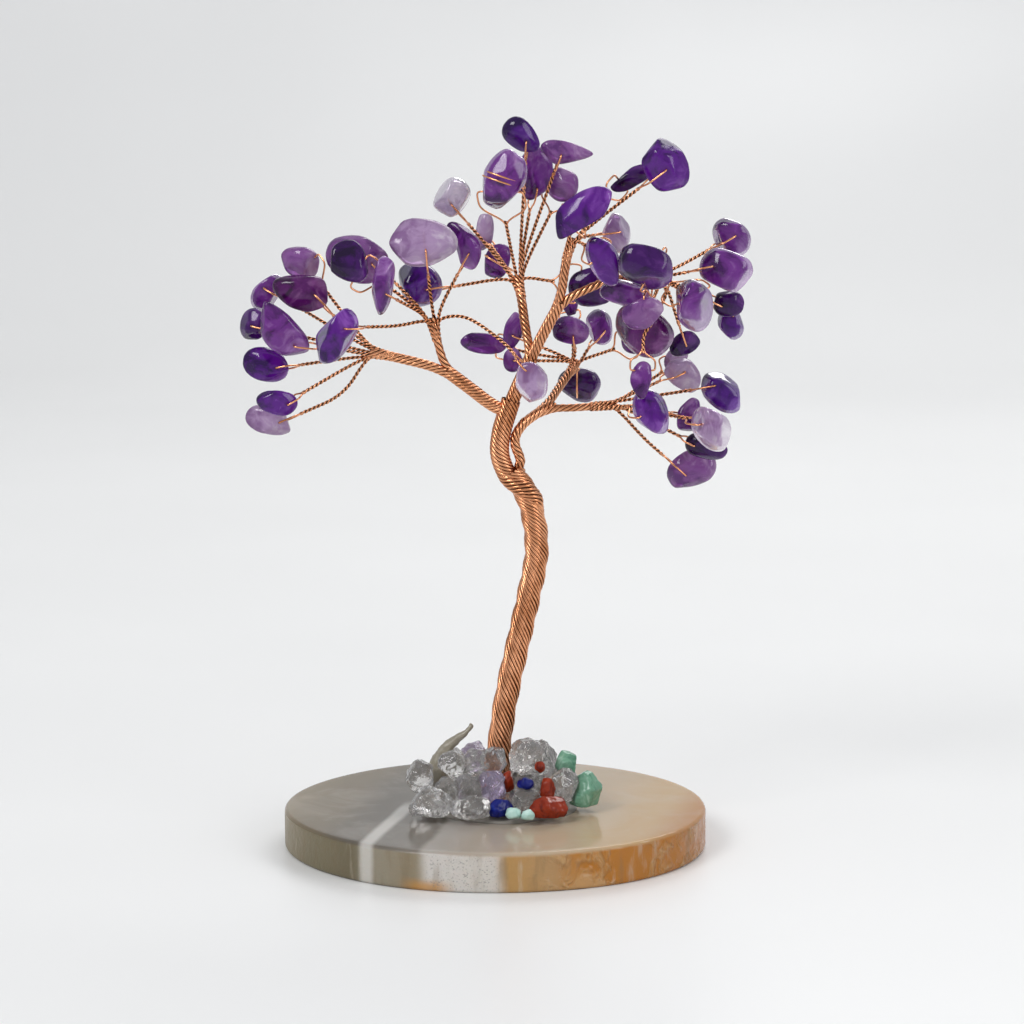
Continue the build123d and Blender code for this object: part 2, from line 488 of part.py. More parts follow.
class HungChip:
    """A chip with its axes, its hole and the wire loop that carries it, all in the part's frame."""

    def __init__(self, chip):
        self.chip = chip
        self.hub = HUBS[chip.spray]
        self.middle = self.hub + Vector(*chip.reach)
        lean = math.radians(chip.lean)
        self.long = Vector(math.cos(lean), 0, math.sin(lean))
        self.thick = Vector(0, 1, 0).rotate(Axis((0, 0, 0), self.long), chip.roll)
        self.wide = self.thick.cross(self.long)
        self.half_thickness = CHIP_FLATNESS * chip.width / 2
        came_from = self.hub + Vector(*chip.via[-1]) if chip.via else self.hub
        toward = (came_from - self.middle).normalized()
        self.hole_share = HOLE_REACH * toward.dot(self.long)
        self.hole = self.middle + self.long * (self.hole_share * chip.length / 2)
        self.hole = self.hole + self.wide * self.bow_at(self.hole_share)
        self.away = (came_from - self.hole).normalized()
        drilled = min((self.thick, self.wide), key=lambda axis: abs(axis.dot(self.away)))
        self.pin = (drilled - self.away * drilled.dot(self.away)).normalized()
        edge, half_grip = self.grip()
        self.leg = half_grip + WIRE_DIAMETER / 2 + LOOP_CLEARANCE
        self.shoulder = edge + WIRE_DIAMETER / 2 + LOOP_CLEARANCE
        self.strand = (TWIG_DIAMETER - WIRE_DIAMETER) / 2 - SEAT_GAP / 2
        self.neck = self.hole + self.away * (self.shoulder + NECK_SLOPE * (self.leg - self.strand))

    def half_at(self, share):
        """Half width and half thickness at a share of the half length."""
        swell = math.sqrt(1 - abs(share) ** CHIP_ROUNDNESS)
        taper = 1 + self.chip.taper * share
        return swell * taper * self.chip.width / 2, swell * (1 + taper) / 2 * self.half_thickness

    def bow_at(self, share):
        return self.chip.bow * (1 - 2 * share * share)

    def local(self, vector):
        return vector.dot(self.long), vector.dot(self.wide), vector.dot(self.thick)

    def depth_along(self, start, way):
        """How far the chip's skin lies from a point inside it, in a direction of its own axes."""
        reached = 0.0
        while True:
            x, y, z = (a + b * reached for a, b in zip(start, way))
            share = x / (self.chip.length / 2)
            if abs(share) >= CHIP_END:
                return reached
            half_width, half_thickness = self.half_at(share)
            if ((y - self.bow_at(share)) / half_width) ** 2 + (z / half_thickness) ** 2 > 1:
                return reached
            reached += MEASURE_STEP

    def grip(self):
        """The chip's reach towards the neck and its half breadth along the pin, over its whole swing."""
        hole = self.local(self.hole - self.middle)
        pin = self.local(self.pin)
        back = tuple(-c for c in pin)
        edge, half = 0.0, 0.0
        for turn in (-SWING, -SWING / 2, 0.0, SWING / 2, SWING):
            way = self.local(self.away.rotate(Axis((0, 0, 0), self.pin), turn))
            length = self.depth_along(hole, way)
            edge = max(edge, length)
            for i in range(GRIP_STEPS):
                point = tuple(a + b * length * i / GRIP_STEPS for a, b in zip(hole, way))
                half = max(half, self.depth_along(point, pin), self.depth_along(point, back))
        return edge, half

    def solid(self):
        sections = []
        for share in CHIP_STATIONS:
            half_width, half_thickness = self.half_at(share)
            origin = self.middle + self.long * (share * self.chip.length / 2) + self.wide * self.bow_at(share)
            section = Plane(origin=origin, x_dir=self.wide, z_dir=self.long)
            sections.append(section * Ellipse(half_width, half_thickness))
        drill = Plane(origin=self.hole, z_dir=self.pin)
        drill = drill * Cylinder(WIRE_DIAMETER / 2 + HOLE_CLEARANCE, 2 * self.chip.length)
        return loft(sections) - drill

    def loop(self):
        """The wire from inside the twig, through the hole and back."""

        def at(along, across):
            return self.hole + self.away * along + self.pin * across

        neck = (self.neck - self.hole).dot(self.away)
        inner = neck + NECK_LEAD / 2
        half = [at(inner, self.strand), at(neck, self.strand), at(self.shoulder, self.leg), at(0, self.leg)]
        other = [at(inner, -self.strand), at(neck, -self.strand), at(self.shoulder, -self.leg), at(0, -self.leg)]
        return tube(half + other[::-1], WIRE_DIAMETER, LOOP_BEND)

    def bends(self):
        """Points of the twig after it leaves its hub."""
        room = (self.neck - self.hub).length - HUB_RADIUS
        before_neck = self.neck + self.away * min(NECK_LEAD, LEAD_SHARE * room)
        return [self.hub + Vector(*point) for point in self.chip.via] + [before_neck, self.neck]

    def twig(self, launch):
        """The twig's stem from the hub's knot to the neck, with its loop."""
        start = self.hub + launch * (HUB_RADIUS + SEAT_GAP)
        lead = min(TWIG_LEAD, LEAD_SHARE * (self.bends()[0] - start).length)
        stem = tube([start, start + launch * lead] + self.bends(), TWIG_DIAMETER)
        return stem + self.loop()


def spread_apart(wanted, arrival, arrival_diameter):
    """Turns the launch directions of a hub's twigs apart until they clear each other and the branch."""
    radius = HUB_RADIUS + SEAT_GAP
    least = 2 * math.asin((TWIG_DIAMETER + TWIG_SPACE) / 2 / radius)
    least_branch = math.asin(arrival_diameter / 2 / radius) + math.asin((TWIG_DIAMETER / 2 + TWIG_SPACE) / radius)
    ways = [way.normalized() for way in wanted]
    for _ in range(SPREAD_TRIES):
        settled = True
        for i, way in enumerate(ways):
            if math.radians(way.get_angle(arrival)) < least_branch:
                ways[i] = (way + (way - arrival).normalized() * SPREAD_STEP).normalized()
                settled = False
            for j in range(i):
                if math.radians(ways[i].get_angle(ways[j])) < least:
                    push = (ways[i] - ways[j]).normalized() * SPREAD_STEP / 2
                    ways[i] = (ways[i] + push).normalized()
                    ways[j] = (ways[j] - push).normalized()
                    settled = False
        if settled:
            break
    return ways


BRANCH_AT_HUB = {
    "left_tip": LEFT_TIP_DIAMETER,
    "left_upper": LEFT_UPPER_DIAMETER,
    "crown_back": CROWN_BACK_DIAMETER,
    "crown": CROWN_BACK_DIAMETER,
    "right_upper": RIGHT_UPPER_DIAMETER,
    "back": BACK_DIAMETER,
    "right": RIGHT_DIAMETER,
}


def spray(name):
    """One hub's twigs and chips."""
    hung = [HungChip(chip) for chip in CHIPS if chip.spray == name]
    arrival = (ROUTES[name][-2] - ROUTES[name][-1]).normalized()
    ways = spread_apart([one.bends()[0] - one.hub for one in hung], arrival, BRANCH_AT_HUB[name])
    twigs = [one.twig(way) for one, way in zip(hung, ways)]
    return hung, twigs


def reach_of(stone, way):
    """How far an oval stone stands out from its middle in a direction."""
    turned = way.rotate(Axis.Z, -stone.turn)
    return math.sqrt(sum((h * c) ** 2 for h, c in zip(stone.half, turned)))


def stone_middle(stone):
    x, y, z = stone.place
    return Vector(x, y, bed_top + z)


def facet_planes(stone, seed):
    """Flat facets round an oval stone, at directions spread by the golden angle."""
    planes = []
    for i in range(STONE_FACETS):
        height = 1 - 2 * (i + 0.5) / STONE_FACETS
        angle = i * math.pi * (3 - math.sqrt(5)) + seed
        flat = math.sqrt(1 - height * height)
        way = Vector(flat * math.cos(angle), flat * math.sin(angle), height)
        way = way.rotate(Axis.X, FACET_TILT * math.sin(seed))
        depth = reach_of(stone, way) * (FACET_DEPTH + FACET_SPREAD * math.sin(3 * i + seed))
        planes.append(Plane(origin=stone_middle(stone) + way * depth, z_dir=way))
    return planes


def clear_of_segment(point, start, end, radius):
    """The plane that keeps a stone at a point off a round rod between two ends."""
    run = end - start
    share = min(1.0, max(0.0, (point - start).dot(run) / run.dot(run)))
    near = start + run * share
    way = (near - point).normalized()
    return Plane(origin=near - way * (radius + STONE_GAP), z_dir=way)


def neighbour_planes(stone, others):
    """Planes half way to each stone that would otherwise overlap this one."""
    planes = []
    middle = stone_middle(stone)
    for other in others:
        gap = stone_middle(other) - middle
        way = gap.normalized()
        own, theirs = reach_of(stone, way), reach_of(other, way)
        if own + theirs > gap.length:
            depth = gap.length * own / (own + theirs) - STONE_GAP / 2
            planes.append(Plane(origin=middle + way * depth, z_dir=way))
    return planes


def horn_path():
    """The line along the middle of the horn, from the glue to its tip."""
    points = [Vector(x, y, bed_top + z) for x, y, z in HORN_ROUTE]
    return Spline(*points, tangents=[(0, 0, 1), points[-1] - points[-2]])


def horn_points():
    last = len(HORN_RADII) - 1
    return [horn_path() @ (i / last) for i in range(last + 1)]


def heap_solids():
    """Every faceted stone, cut clear of its neighbours, the glue, the trunk and the horn."""
    stones = STONES + ring_stones()
    trunk = [above_slab(x, 0, z) for x, z in TRUNK_ROUTE[:3]]
    horn = horn_points()
    made = {}
    for index, stone in enumerate(stones):
        middle = stone_middle(stone)
        planes = facet_planes(stone, seed=1.7 * index)
        planes = planes + neighbour_planes(stone, stones[:index] + stones[index + 1 :])
        planes.append(Plane(origin=(0, 0, bed_top), z_dir=(0, 0, -1)))
        for start, end in zip(trunk, trunk[1:]):
            planes.append(clear_of_segment(middle, start, end, rope_radius))
        for start, end, radius in zip(horn, horn[1:], HORN_RADII):
            planes.append(clear_of_segment(middle, start, end, radius + HORN_BULGE))
        side = 4 * max(stone.half)
        solid = Pos(*middle) * Box(side, side, side)
        for plane in planes:
            solid = split(solid, bisect_by=plane, keep=Keep.BOTTOM)
        made.setdefault(stone.kind + "_stones", []).append(solid)
    return made


def smoky_horn():
    """A curved tusk of smoky quartz that leans over the heap, cut off level on the glue."""
    path = horn_path()
    last = len(HORN_RADII) - 1
    sections = []
    for i, radius in enumerate(HORN_RADII):
        sections.append(Plane(origin=path @ (i / last), z_dir=path % (i / last)) * Circle(radius))
    return loft(sections)


def save(name, solids):
    """Writes one node; a group of separate solids shares one file."""
    pieces = [solid for item in solids for solid in item.solids()]
    export_step(pieces[0] if len(pieces) == 1 else Compound(pieces), f"parts/{name}.step")


def main():
    os.makedirs("parts", exist_ok=True)
    save("agate_slab", [agate_slab()])
    save("clear_glue_film", [glue_film()])
    save("root_wires", root_wires())
    for name, solid in branches().items():
        save(name, [solid])
    for name in HUBS:
        hung, twigs = spray(name)
        save(f"{name}_twigs", twigs)
        save(f"{name}_wedged_chips", [one.solid() for one in hung if not one.chip.name])
        for one in hung:
            if one.chip.name:
                save(one.chip.name, [one.solid()])
    for name, solids in heap_solids().items():
        save(name, solids)
    save("smoky_quartz_horn", [smoky_horn()])


if __name__ == "__main__":
    main()
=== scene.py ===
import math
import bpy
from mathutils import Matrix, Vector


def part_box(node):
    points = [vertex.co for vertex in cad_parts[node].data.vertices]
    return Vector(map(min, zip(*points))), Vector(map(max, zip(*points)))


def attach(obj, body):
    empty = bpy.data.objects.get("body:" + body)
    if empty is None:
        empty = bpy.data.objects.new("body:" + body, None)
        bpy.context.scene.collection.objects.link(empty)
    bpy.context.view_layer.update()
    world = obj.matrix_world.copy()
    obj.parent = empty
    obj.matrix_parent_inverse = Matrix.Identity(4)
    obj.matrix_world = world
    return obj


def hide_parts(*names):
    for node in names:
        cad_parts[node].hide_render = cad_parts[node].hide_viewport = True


bl_info = {
    "name": "Gemstone tree ornament",
    "version": (1, 0, 0),
    "blender": (4, 5, 0),
    "location": "View3D > Sidebar > Gem tree",
    "description": "Dresses a copper wire tree with amethyst chips on an agate slice",
    "category": "Object",
}

from dataclasses import dataclass

import bmesh
import bpy
import numpy as np
from mathutils import Matrix, Vector, noise

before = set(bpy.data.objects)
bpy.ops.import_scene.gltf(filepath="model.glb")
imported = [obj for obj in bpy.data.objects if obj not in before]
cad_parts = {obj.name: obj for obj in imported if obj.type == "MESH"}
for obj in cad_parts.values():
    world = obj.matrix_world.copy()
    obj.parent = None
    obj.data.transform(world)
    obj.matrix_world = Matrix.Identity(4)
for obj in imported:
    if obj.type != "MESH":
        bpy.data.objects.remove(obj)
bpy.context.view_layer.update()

# All lengths in the tables are millimetres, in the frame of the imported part
MM = 0.001
SLAB_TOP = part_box("agate_slab")[1].z / MM
TREE = "tree"


@dataclass
class Chip:
    """One drilled amethyst chip, placed from the hub that its twig leaves."""

    spray: str
    name: str  # empty for a chip that is wedged among its neighbours
    look: str
    reach: tuple  # from the hub to the middle of the chip
    length: float
    width: float
    lean: float  # of the long axis in the front view, degrees up from +X
    roll: float = 0.0  # about the long axis
    taper: float = 0.0  # above 0 the end that the lean points to is the fat one
    bow: float = 0.0  # bend of a bean
    via: tuple = ()  # bends of the twig, from the hub


CHIPS = [
    Chip("left_tip", "left_tip_upper_chip", "light", (-13.7, 10, 15.9), 8, 6.2, -25, roll=15, taper=0.1),
    Chip("left_tip", "", "maroon", (-13, 4, 10.8), 11, 7.2, -20, roll=-12, taper=0.3),
    Chip("left_tip", "", "mid", (-19.7, 12, 10.3), 8.2, 5, 55, roll=10),
    Chip("left_tip", "", "dark", (-22.1, 5, 4.5), 6.2, 5, 80, roll=-20),
    Chip("left_tip", "left_tip_bean_chip", "mid", (-15.9, -2, 4.4), 13.4, 6.6, -48, roll=8, bow=0.9),
    Chip("left_tip", "left_tip_rhombus_chip", "vivid", (-19.5, 4, -3.1), 9.2, 6.2, -15, roll=-15, taper=-0.1),
    Chip("left_tip", "left_tip_vivid_chip", "vivid", (-17.3, -3, -9), 7.6, 5.2, -8, roll=12),
    Chip("left_tip", "left_tip_pale_chip", "pale", (-19, 3, -13.3), 9, 6, -10, roll=-10, via=((-5, 1, -8.2),)),
    Chip("left_upper", "", "light", (-13.8, 1, 11.1), 11.6, 9, -15, roll=5),
    Chip("left_upper", "", "dark", (-15, -5.8, 11), 8.6, 6.8, -45, roll=-10, taper=-0.25, via=((-7, -3, 5.5),)),
    Chip("left_upper", "", "mid", (-9, -6.8, 7), 11, 4.7, 85, roll=14, taper=0.25),
    Chip("left_upper", "left_big_pale_chip", "pale", (-1.7, -5, 14.5), 13, 8.6, -3, roll=-8, taper=-0.1),
    Chip("left_upper", "", "mid", (5.8, 2, 13.3), 9.8, 4.8, -68, roll=10, bow=-0.7),
    Chip("left_upper", "left_front_chip", "vivid", (-17.8, -8, -2.4), 11.2, 6.6, 55, via=((-6.2, -3, -1.2),)),
    Chip(
        "left_upper", "trunk_front_chip", "pale", (18.5, -8, -11.2), 8.8, 6, -80, roll=6, taper=-0.2,
        via=((5.5, -1, 0.6), (8.9, -3, -0.8), (13.6, -5, -4.2)),
    ),
    Chip("crown_back", "", "indigo", (-18.4, -1, -1.4), 9.2, 8, -40, roll=-15),
    Chip("crown_back", "crown_clear_chip", "clear", (-12, -2, 14.8), 8, 6.7, 65, roll=14),
    Chip("crown_back", "", "pale", (-6.1, 13, 7.1), 8, 3.6, 85, roll=-20),
    Chip("crown_back", "", "mid", (-3.6, 11, 1.7), 7, 5.3, 60, roll=10),
    Chip("crown_back", "crown_bell_chip", "mid", (-2.1, -8, 19.2), 12, 8, 70, roll=-8, taper=-0.25),
    Chip("crown_back", "", "mid", (3.6, 3, 19), 10, 6.5, 85, roll=15),
    Chip("crown_back", "", "light", (8.7, 6, 17.2), 7, 6, 90, roll=-15),
    Chip("crown_back", "crown_top_chip", "indigo", (1.1, -2, 26.6), 7.6, 5.6, -40, roll=10, taper=-0.15),
    Chip("crown_back", "crown_spike_chip", "light", (9.2, -8, 23.9), 9.8, 4.2, -2, roll=12, taper=-0.4),
    Chip("crown_back", "", "dark", (14.3, 1, -2), 9, 7.8, -10, roll=12),
    Chip("crown", "crown_bright_chip", "vivid", (1.5, -8.5, 5.3), 13.2, 6.6, 35, roll=-10),
    Chip("crown", "", "vivid", (5.9, -7, -3.6), 9.8, 5.6, -65, roll=12),
    Chip("crown", "crown_pale_chip", "pale", (8.6, 3, 0.5), 7.8, 5.6, -75, roll=-12),
    Chip("crown", "", "dark", (11.2, 4, 10.8), 8.5, 4, 25, roll=20),
    Chip("crown", "crown_disc_chip", "vivid", (17.2, -2, 13.6), 11.5, 8, -60, roll=-15),
    Chip("right_upper", "", "dark", (-3.5, -11, 3.1), 11, 8.4, -25, roll=8),
    Chip("right_upper", "", "mid", (-7, -5.5, -2.4), 9.6, 5.4, 0, roll=-10),
    Chip("right_upper", "", "light", (-4.2, -10.5, -5.6), 7.8, 6, 8, roll=10),
    Chip("right_upper", "", "maroon", (-3.7, -2, -9.9), 12, 9, -35, roll=-8),
    Chip("right_upper", "", "dark", (4.2, 4, -13), 6.3, 4.4, 25, roll=15),
    Chip("right_upper", "right_triangle_chip", "mid", (5.3, -7, -4.5), 10, 8.2, -75, roll=-10, taper=-0.3),
    Chip("right_upper", "right_upper_chip", "mid", (12.9, 5, 7), 7.8, 6.6, -60, roll=15),
    Chip("right_upper", "right_round_chip", "mid", (11.8, -0.6, 1.25), 10, 8.2, -15, roll=-10),
    Chip("right_upper", "", "dark", (12.4, 4, -5.5), 6, 5.2, -10, roll=12),
    Chip("right_upper", "", "vivid", (13.1, 9, -9.4), 6.8, 5, -70, roll=-15),
    Chip(
        "right_upper", "right_dangling_chip", "mid", (-4, -6, -18.7), 7, 4.4, 88, roll=10,
        via=((0.6, -3.5, -2.9), (-2.1, -5.6, -7.8), (-3.8, -5.8, -10.1)),
    ),
    Chip("back", "", "mid", (-1.6, -4.5, 7), 7.8, 5.4, -15, roll=10),
    Chip("back", "back_right_chip", "mid", (4.5, 4, 6.5), 7, 5.2, -75, roll=-12),
    Chip("back", "back_low_chip", "dark", (0.7, 7, -5.2), 8.6, 7, -10, roll=14),
    Chip("back", "", "mid", (-12.3, 1, 6.1), 7.4, 3.8, 85, roll=-10),
    Chip("back", "", "mid", (-12.3, -1, 0.7), 4.6, 3.8, 85, roll=15),
    Chip("back", "back_left_chip", "mid", (-17.8, 6, 3), 9.4, 4.3, -10, roll=8, via=((-6.9, 1, 1.3),)),
    Chip("back", "", "mid", (-1.3, 5, 10.5), 4.6, 3.2, 85, roll=-15),
    Chip("back", "", "light", (11.9, -6, 5.2), 6.8, 5.6, 20, roll=10),
    Chip("right", "low_right_vivid_chip", "vivid", (7.3, -7, -0.7), 9.4, 6.4, -65, roll=-10),
    Chip("right", "low_right_pale_chip", "pale", (18.7, -9, -3.3), 9.4, 7, -50, roll=12, via=((10.5, -2.4, -1.8),)),
    Chip("right", "low_right_indigo_chip", "indigo", (20.8, -4, 3), 9.4, 6.6, -45, roll=-14),
    Chip("right", "", "dark", (18, -2, -7.9), 8, 5.4, -15, roll=10),
    Chip("right", "low_right_bottom_chip", "light", (15.1, 4, -13.3), 10, 7.2, 25, roll=-8, via=((6.2, 2, -6.9),)),
    Chip("right", "", "pale", (13.5, 7, 4.8), 8, 6, -50, roll=15),
    Chip("right", "", "pale", (12.8, 12.5, 6.8), 5.2, 4.4, 60, roll=-10),
    Chip("right", "", "mid", (14.9, 3, -2.7), 7, 5, 80, roll=12),
]

# Sizes shared with the solids
WIRE_DIAMETER = 0.35
TWIG_DIAMETER = 0.75
TWIG_FULLNESS = 1.06  # its two wires are drawn a little thick, so that they touch
HUB_RADIUS = 2.0
NECK_LEAD = 1.0
NECK_SLOPE = 0.6
LOOP_CLEARANCE = 0.25
CHIP_ROUNDNESS = 2.3
CHIP_FLATNESS = 0.62
CHIP_END = 0.985
HOLE_REACH = 0.55
SWING = 18.0
MEASURE_STEP = 0.05
GRIP_STEPS = 6

# Routes of the trunk and branches
TRUNK_ROUTE = (  # x and height above the slab
    (0.5, 0.0), (0.6, 11.0), (2.2, 22.4), (4.3, 32.1), (6.4, 41.7),
    (7.6, 48.5), (7.3, 54.2), (5.8, 59.9), (2.8, 64.3),
)
TWIST_PITCH = 14.0
TWIST_STEPS = 12
MAIN_OFFSET = 0.93
SIDE_OFFSET = 1.74


def above_slab(x, y, z):
    return Vector((x, y, SLAB_TOP + z))


def bent_line(start, bends, end):
    """A line from one point to another by bends that are given from its start."""
    return [start] + [start + Vector(bend) for bend in bends] + [end]


FORK = above_slab(2.2, 0.0, 75.9)
SIDE_FORK = above_slab(9.4, 3.0, 76.1)
LEFT_FORK = FORK + Vector((-11.4, -1.0, 7.7))
CENTRE_FORK = FORK + Vector((4.4, -1.0, 10.2))
RIGHT_FORK = CENTRE_FORK + Vector((5.5, -2.0, 10.7))
HUBS = {
    "left_tip": LEFT_FORK + Vector((-14.3, -1.0, 3.7)),
    "left_upper": LEFT_FORK + Vector((-2.7, 0.0, 10.0)),
    "crown_back": CENTRE_FORK + Vector((-2.8, 7.0, 14.5)),
    "crown": CENTRE_FORK + Vector((7.5, -3.0, 22.7)),
    "right_upper": RIGHT_FORK + Vector((19.0, 0.0, 4.7)),
    "back": SIDE_FORK + Vector((6.1, 17.0, 6.4)),
    "right": SIDE_FORK + Vector((12.5, 3.0, 0.3)),
}
MAIN_TOP = [above_slab(0.5, 0, 67.6), above_slab(0.9, 0, 71.9), FORK]
SIDE_TOP = [above_slab(4.8, 0, 66.6), above_slab(3.1, 0.2, 70.2), above_slab(4.9, 1.2, 73.4), SIDE_FORK]
MAIN_DIAMETER = 3.2
SIDE_DIAMETER = 1.9
ROUTES = {
    "left": bent_line(FORK, [(-2.6, 0, 0.8), (-7.1, -1.0, 4.5)], LEFT_FORK),
    "left_tip": bent_line(LEFT_FORK, [(-6.9, -1.0, 2.2)], HUBS["left_tip"]),
    "left_upper": bent_line(LEFT_FORK, [(-1.6, 0, 4.6)], HUBS["left_upper"]),
    "centre": bent_line(FORK, [(1.5, 0, 3.6), (3.2, -1.0, 7.5)], CENTRE_FORK),
    "crown_lower": bent_line(CENTRE_FORK, [(2.6, -1.0, 5.4)], RIGHT_FORK),
    "crown": bent_line(RIGHT_FORK, [(0.8, -1.0, 7.6)], HUBS["crown"]),
    "crown_back": bent_line(CENTRE_FORK, [(-1.2, 2.0, 6.0), (-1.9, 5.0, 11.3)], HUBS["crown_back"]),
    "right_upper": bent_line(RIGHT_FORK, [(4.5, 0, 2.3), (10.4, 0.2, 4.7)], HUBS["right_upper"]),
    "back": bent_line(SIDE_FORK, [(2.8, 9.0, 3.2)], HUBS["back"]),
    "right": bent_line(SIDE_FORK, [(6.4, 1.0, -0.2)], HUBS["right"]),
}
# Branches: CAD node, the point of the bundle below that each comes from, diameter
BRANCHES = {
    "left": ("left_branch", MAIN_TOP[1], 2.5),
    "left_tip": ("left_branch", ROUTES["left"][-2], 1.9),
    "left_upper": ("left_upper_branch", ROUTES["left"][-2], 1.6),
    "centre": ("centre_branch", MAIN_TOP[1], 2.8),
    "crown_lower": ("crown_branch", ROUTES["centre"][-2], 2.2),
    "crown": ("crown_branch", ROUTES["crown_lower"][-2], 1.8),
    "crown_back": ("crown_back_branch", ROUTES["centre"][-2], 1.8),
    "right_upper": ("right_upper_branch", ROUTES["crown_lower"][-2], 1.6),
    "back": ("back_branch", SIDE_TOP[2], 1.7),
    "right": ("right_branch", SIDE_TOP[2], 1.5),
}

# Chips: deep, body and pale colour, how far light goes through, material slot
LOOKS = {
    "vivid": ((0.028, 0.001, 0.080), (0.106, 0.006, 0.250), (0.310, 0.095, 0.520), 0.30, "amethyst_vivid"),
    "mid": ((0.050, 0.004, 0.090), (0.170, 0.030, 0.265), (0.440, 0.220, 0.540), 0.35, "amethyst_mid"),
    "light": ((0.125, 0.032, 0.190), (0.280, 0.100, 0.350), (0.600, 0.400, 0.640), 0.40, "amethyst_mid"),
    "pale": ((0.260, 0.130, 0.310), (0.450, 0.300, 0.500), (0.740, 0.650, 0.750), 0.40, "amethyst_pale"),
    "clear": ((0.330, 0.240, 0.390), (0.570, 0.480, 0.610), (0.850, 0.800, 0.840), 0.60, "amethyst_pale"),
    "dark": ((0.012, 0.001, 0.028), (0.042, 0.003, 0.096), (0.165, 0.045, 0.270), 0.10, "amethyst_dark"),
    "maroon": ((0.030, 0.002, 0.038), (0.100, 0.008, 0.122), (0.300, 0.100, 0.310), 0.18, "amethyst_dark"),
    "indigo": ((0.016, 0.001, 0.054), (0.066, 0.005, 0.186), (0.220, 0.080, 0.430), 0.20, "amethyst_vivid"),
}
# Glassy stones: body and pale colour, how far light goes through, how cloudy they are
GLASSY = {
    "clear_quartz": ((0.70, 0.685, 0.67), (0.96, 0.95, 0.94), 0.94, 0.9),
    "violet_quartz": ((0.66, 0.56, 0.76), (0.93, 0.90, 0.94), 0.85, 0.8),
    "smoky_quartz": ((0.42, 0.38, 0.29), (0.62, 0.58, 0.48), 0.40, 0.6),
}
# Opaque stones: deep, body and pale colour, how far light goes through
OPAQUE = {
    "lapis": ((0.002, 0.004, 0.05), (0.005, 0.010, 0.15), (0.02, 0.04, 0.32), 0.0),
    "amazonite": ((0.36, 0.60, 0.53), (0.50, 0.74, 0.66), (0.72, 0.88, 0.82), 0.1),
    "red_jasper": ((0.09, 0.007, 0.003), (0.25, 0.024, 0.006), (0.38, 0.055, 0.018), 0.0),
    "aventurine": ((0.08, 0.24, 0.15), (0.19, 0.41, 0.28), (0.46, 0.68, 0.54), 0.25),
}
# Agate: colours of its top and of its wall, by share of its breadth from the left
AGATE_TOP = (
    (0.02, (0.20, 0.16, 0.10)),
    (0.12, (0.155, 0.125, 0.082)),
    (0.25, (0.11, 0.096, 0.078)),
    (0.32, (0.14, 0.125, 0.105)),
    (0.42, (0.19, 0.17, 0.145)),
    (0.44, (0.37, 0.34, 0.305)),
    (0.55, (0.37, 0.315, 0.255)),
    (0.70, (0.445, 0.345, 0.235)),
    (0.88, (0.46, 0.315, 0.165)),
    (0.99, (0.40, 0.20, 0.075)),
)
AGATE_WALL = (
    (0.00, (0.22, 0.18, 0.11)),
    (0.10, (0.16, 0.135, 0.078)),
    (0.18, (0.14, 0.115, 0.066)),
    (0.22, (0.26, 0.23, 0.17)),
    (0.32, (0.25, 0.205, 0.135)),
    (0.35, (0.56, 0.53, 0.49)),
    (0.49, (0.55, 0.51, 0.46)),
    (0.53, (0.41, 0.235, 0.08)),
    (0.62, (0.40, 0.235, 0.10)),
    (0.70, (0.40, 0.15, 0.012)),
    (0.90, (0.40, 0.15, 0.016)),
    (1.00, (0.40, 0.19, 0.085)),
)
AGATE_SPAN = 0.084  # metres, the breadth that the shares are of
AGATE_SLANT = -0.24  # lean of the bands on the top
SEAM_WHITE = (0.66, 0.64, 0.60)
SEAM_STRENGTH = 0.6
PAINTED_CREVICE_SHADE = (0.050, 0.012, 0.003)  # painted shade: copper between two strands and on the bundles' cores, darkened where shade falls
STONE_GLOSS = 0.28


class Nodes:
    """A node tree with short calls for its nodes and links."""

    def __init__(self, tree):
        self.tree = tree

    def feed(self, socket, value):
        """Links an output to a socket, or sets the socket's own value."""
        if isinstance(value, bpy.types.NodeSocket):
            self.tree.links.new(value, socket)
        elif socket.type == "RGBA":
            socket.default_value = (*value, 1.0)
        else:
            socket.default_value = value

    def add(self, kind, inputs=(), **choices):
        """The outputs of a new node; its inputs come in order or by name."""
        made = self.tree.nodes.new(kind)
        for key, value in choices.items():
            setattr(made, key, value)
        for key, value in inputs.items() if isinstance(inputs, dict) else enumerate(inputs):
            self.feed(made.inputs[key], value)
        return made.outputs

    def math(self, operation, *values):
        return self.add("ShaderNodeMath", values, operation=operation)[0]


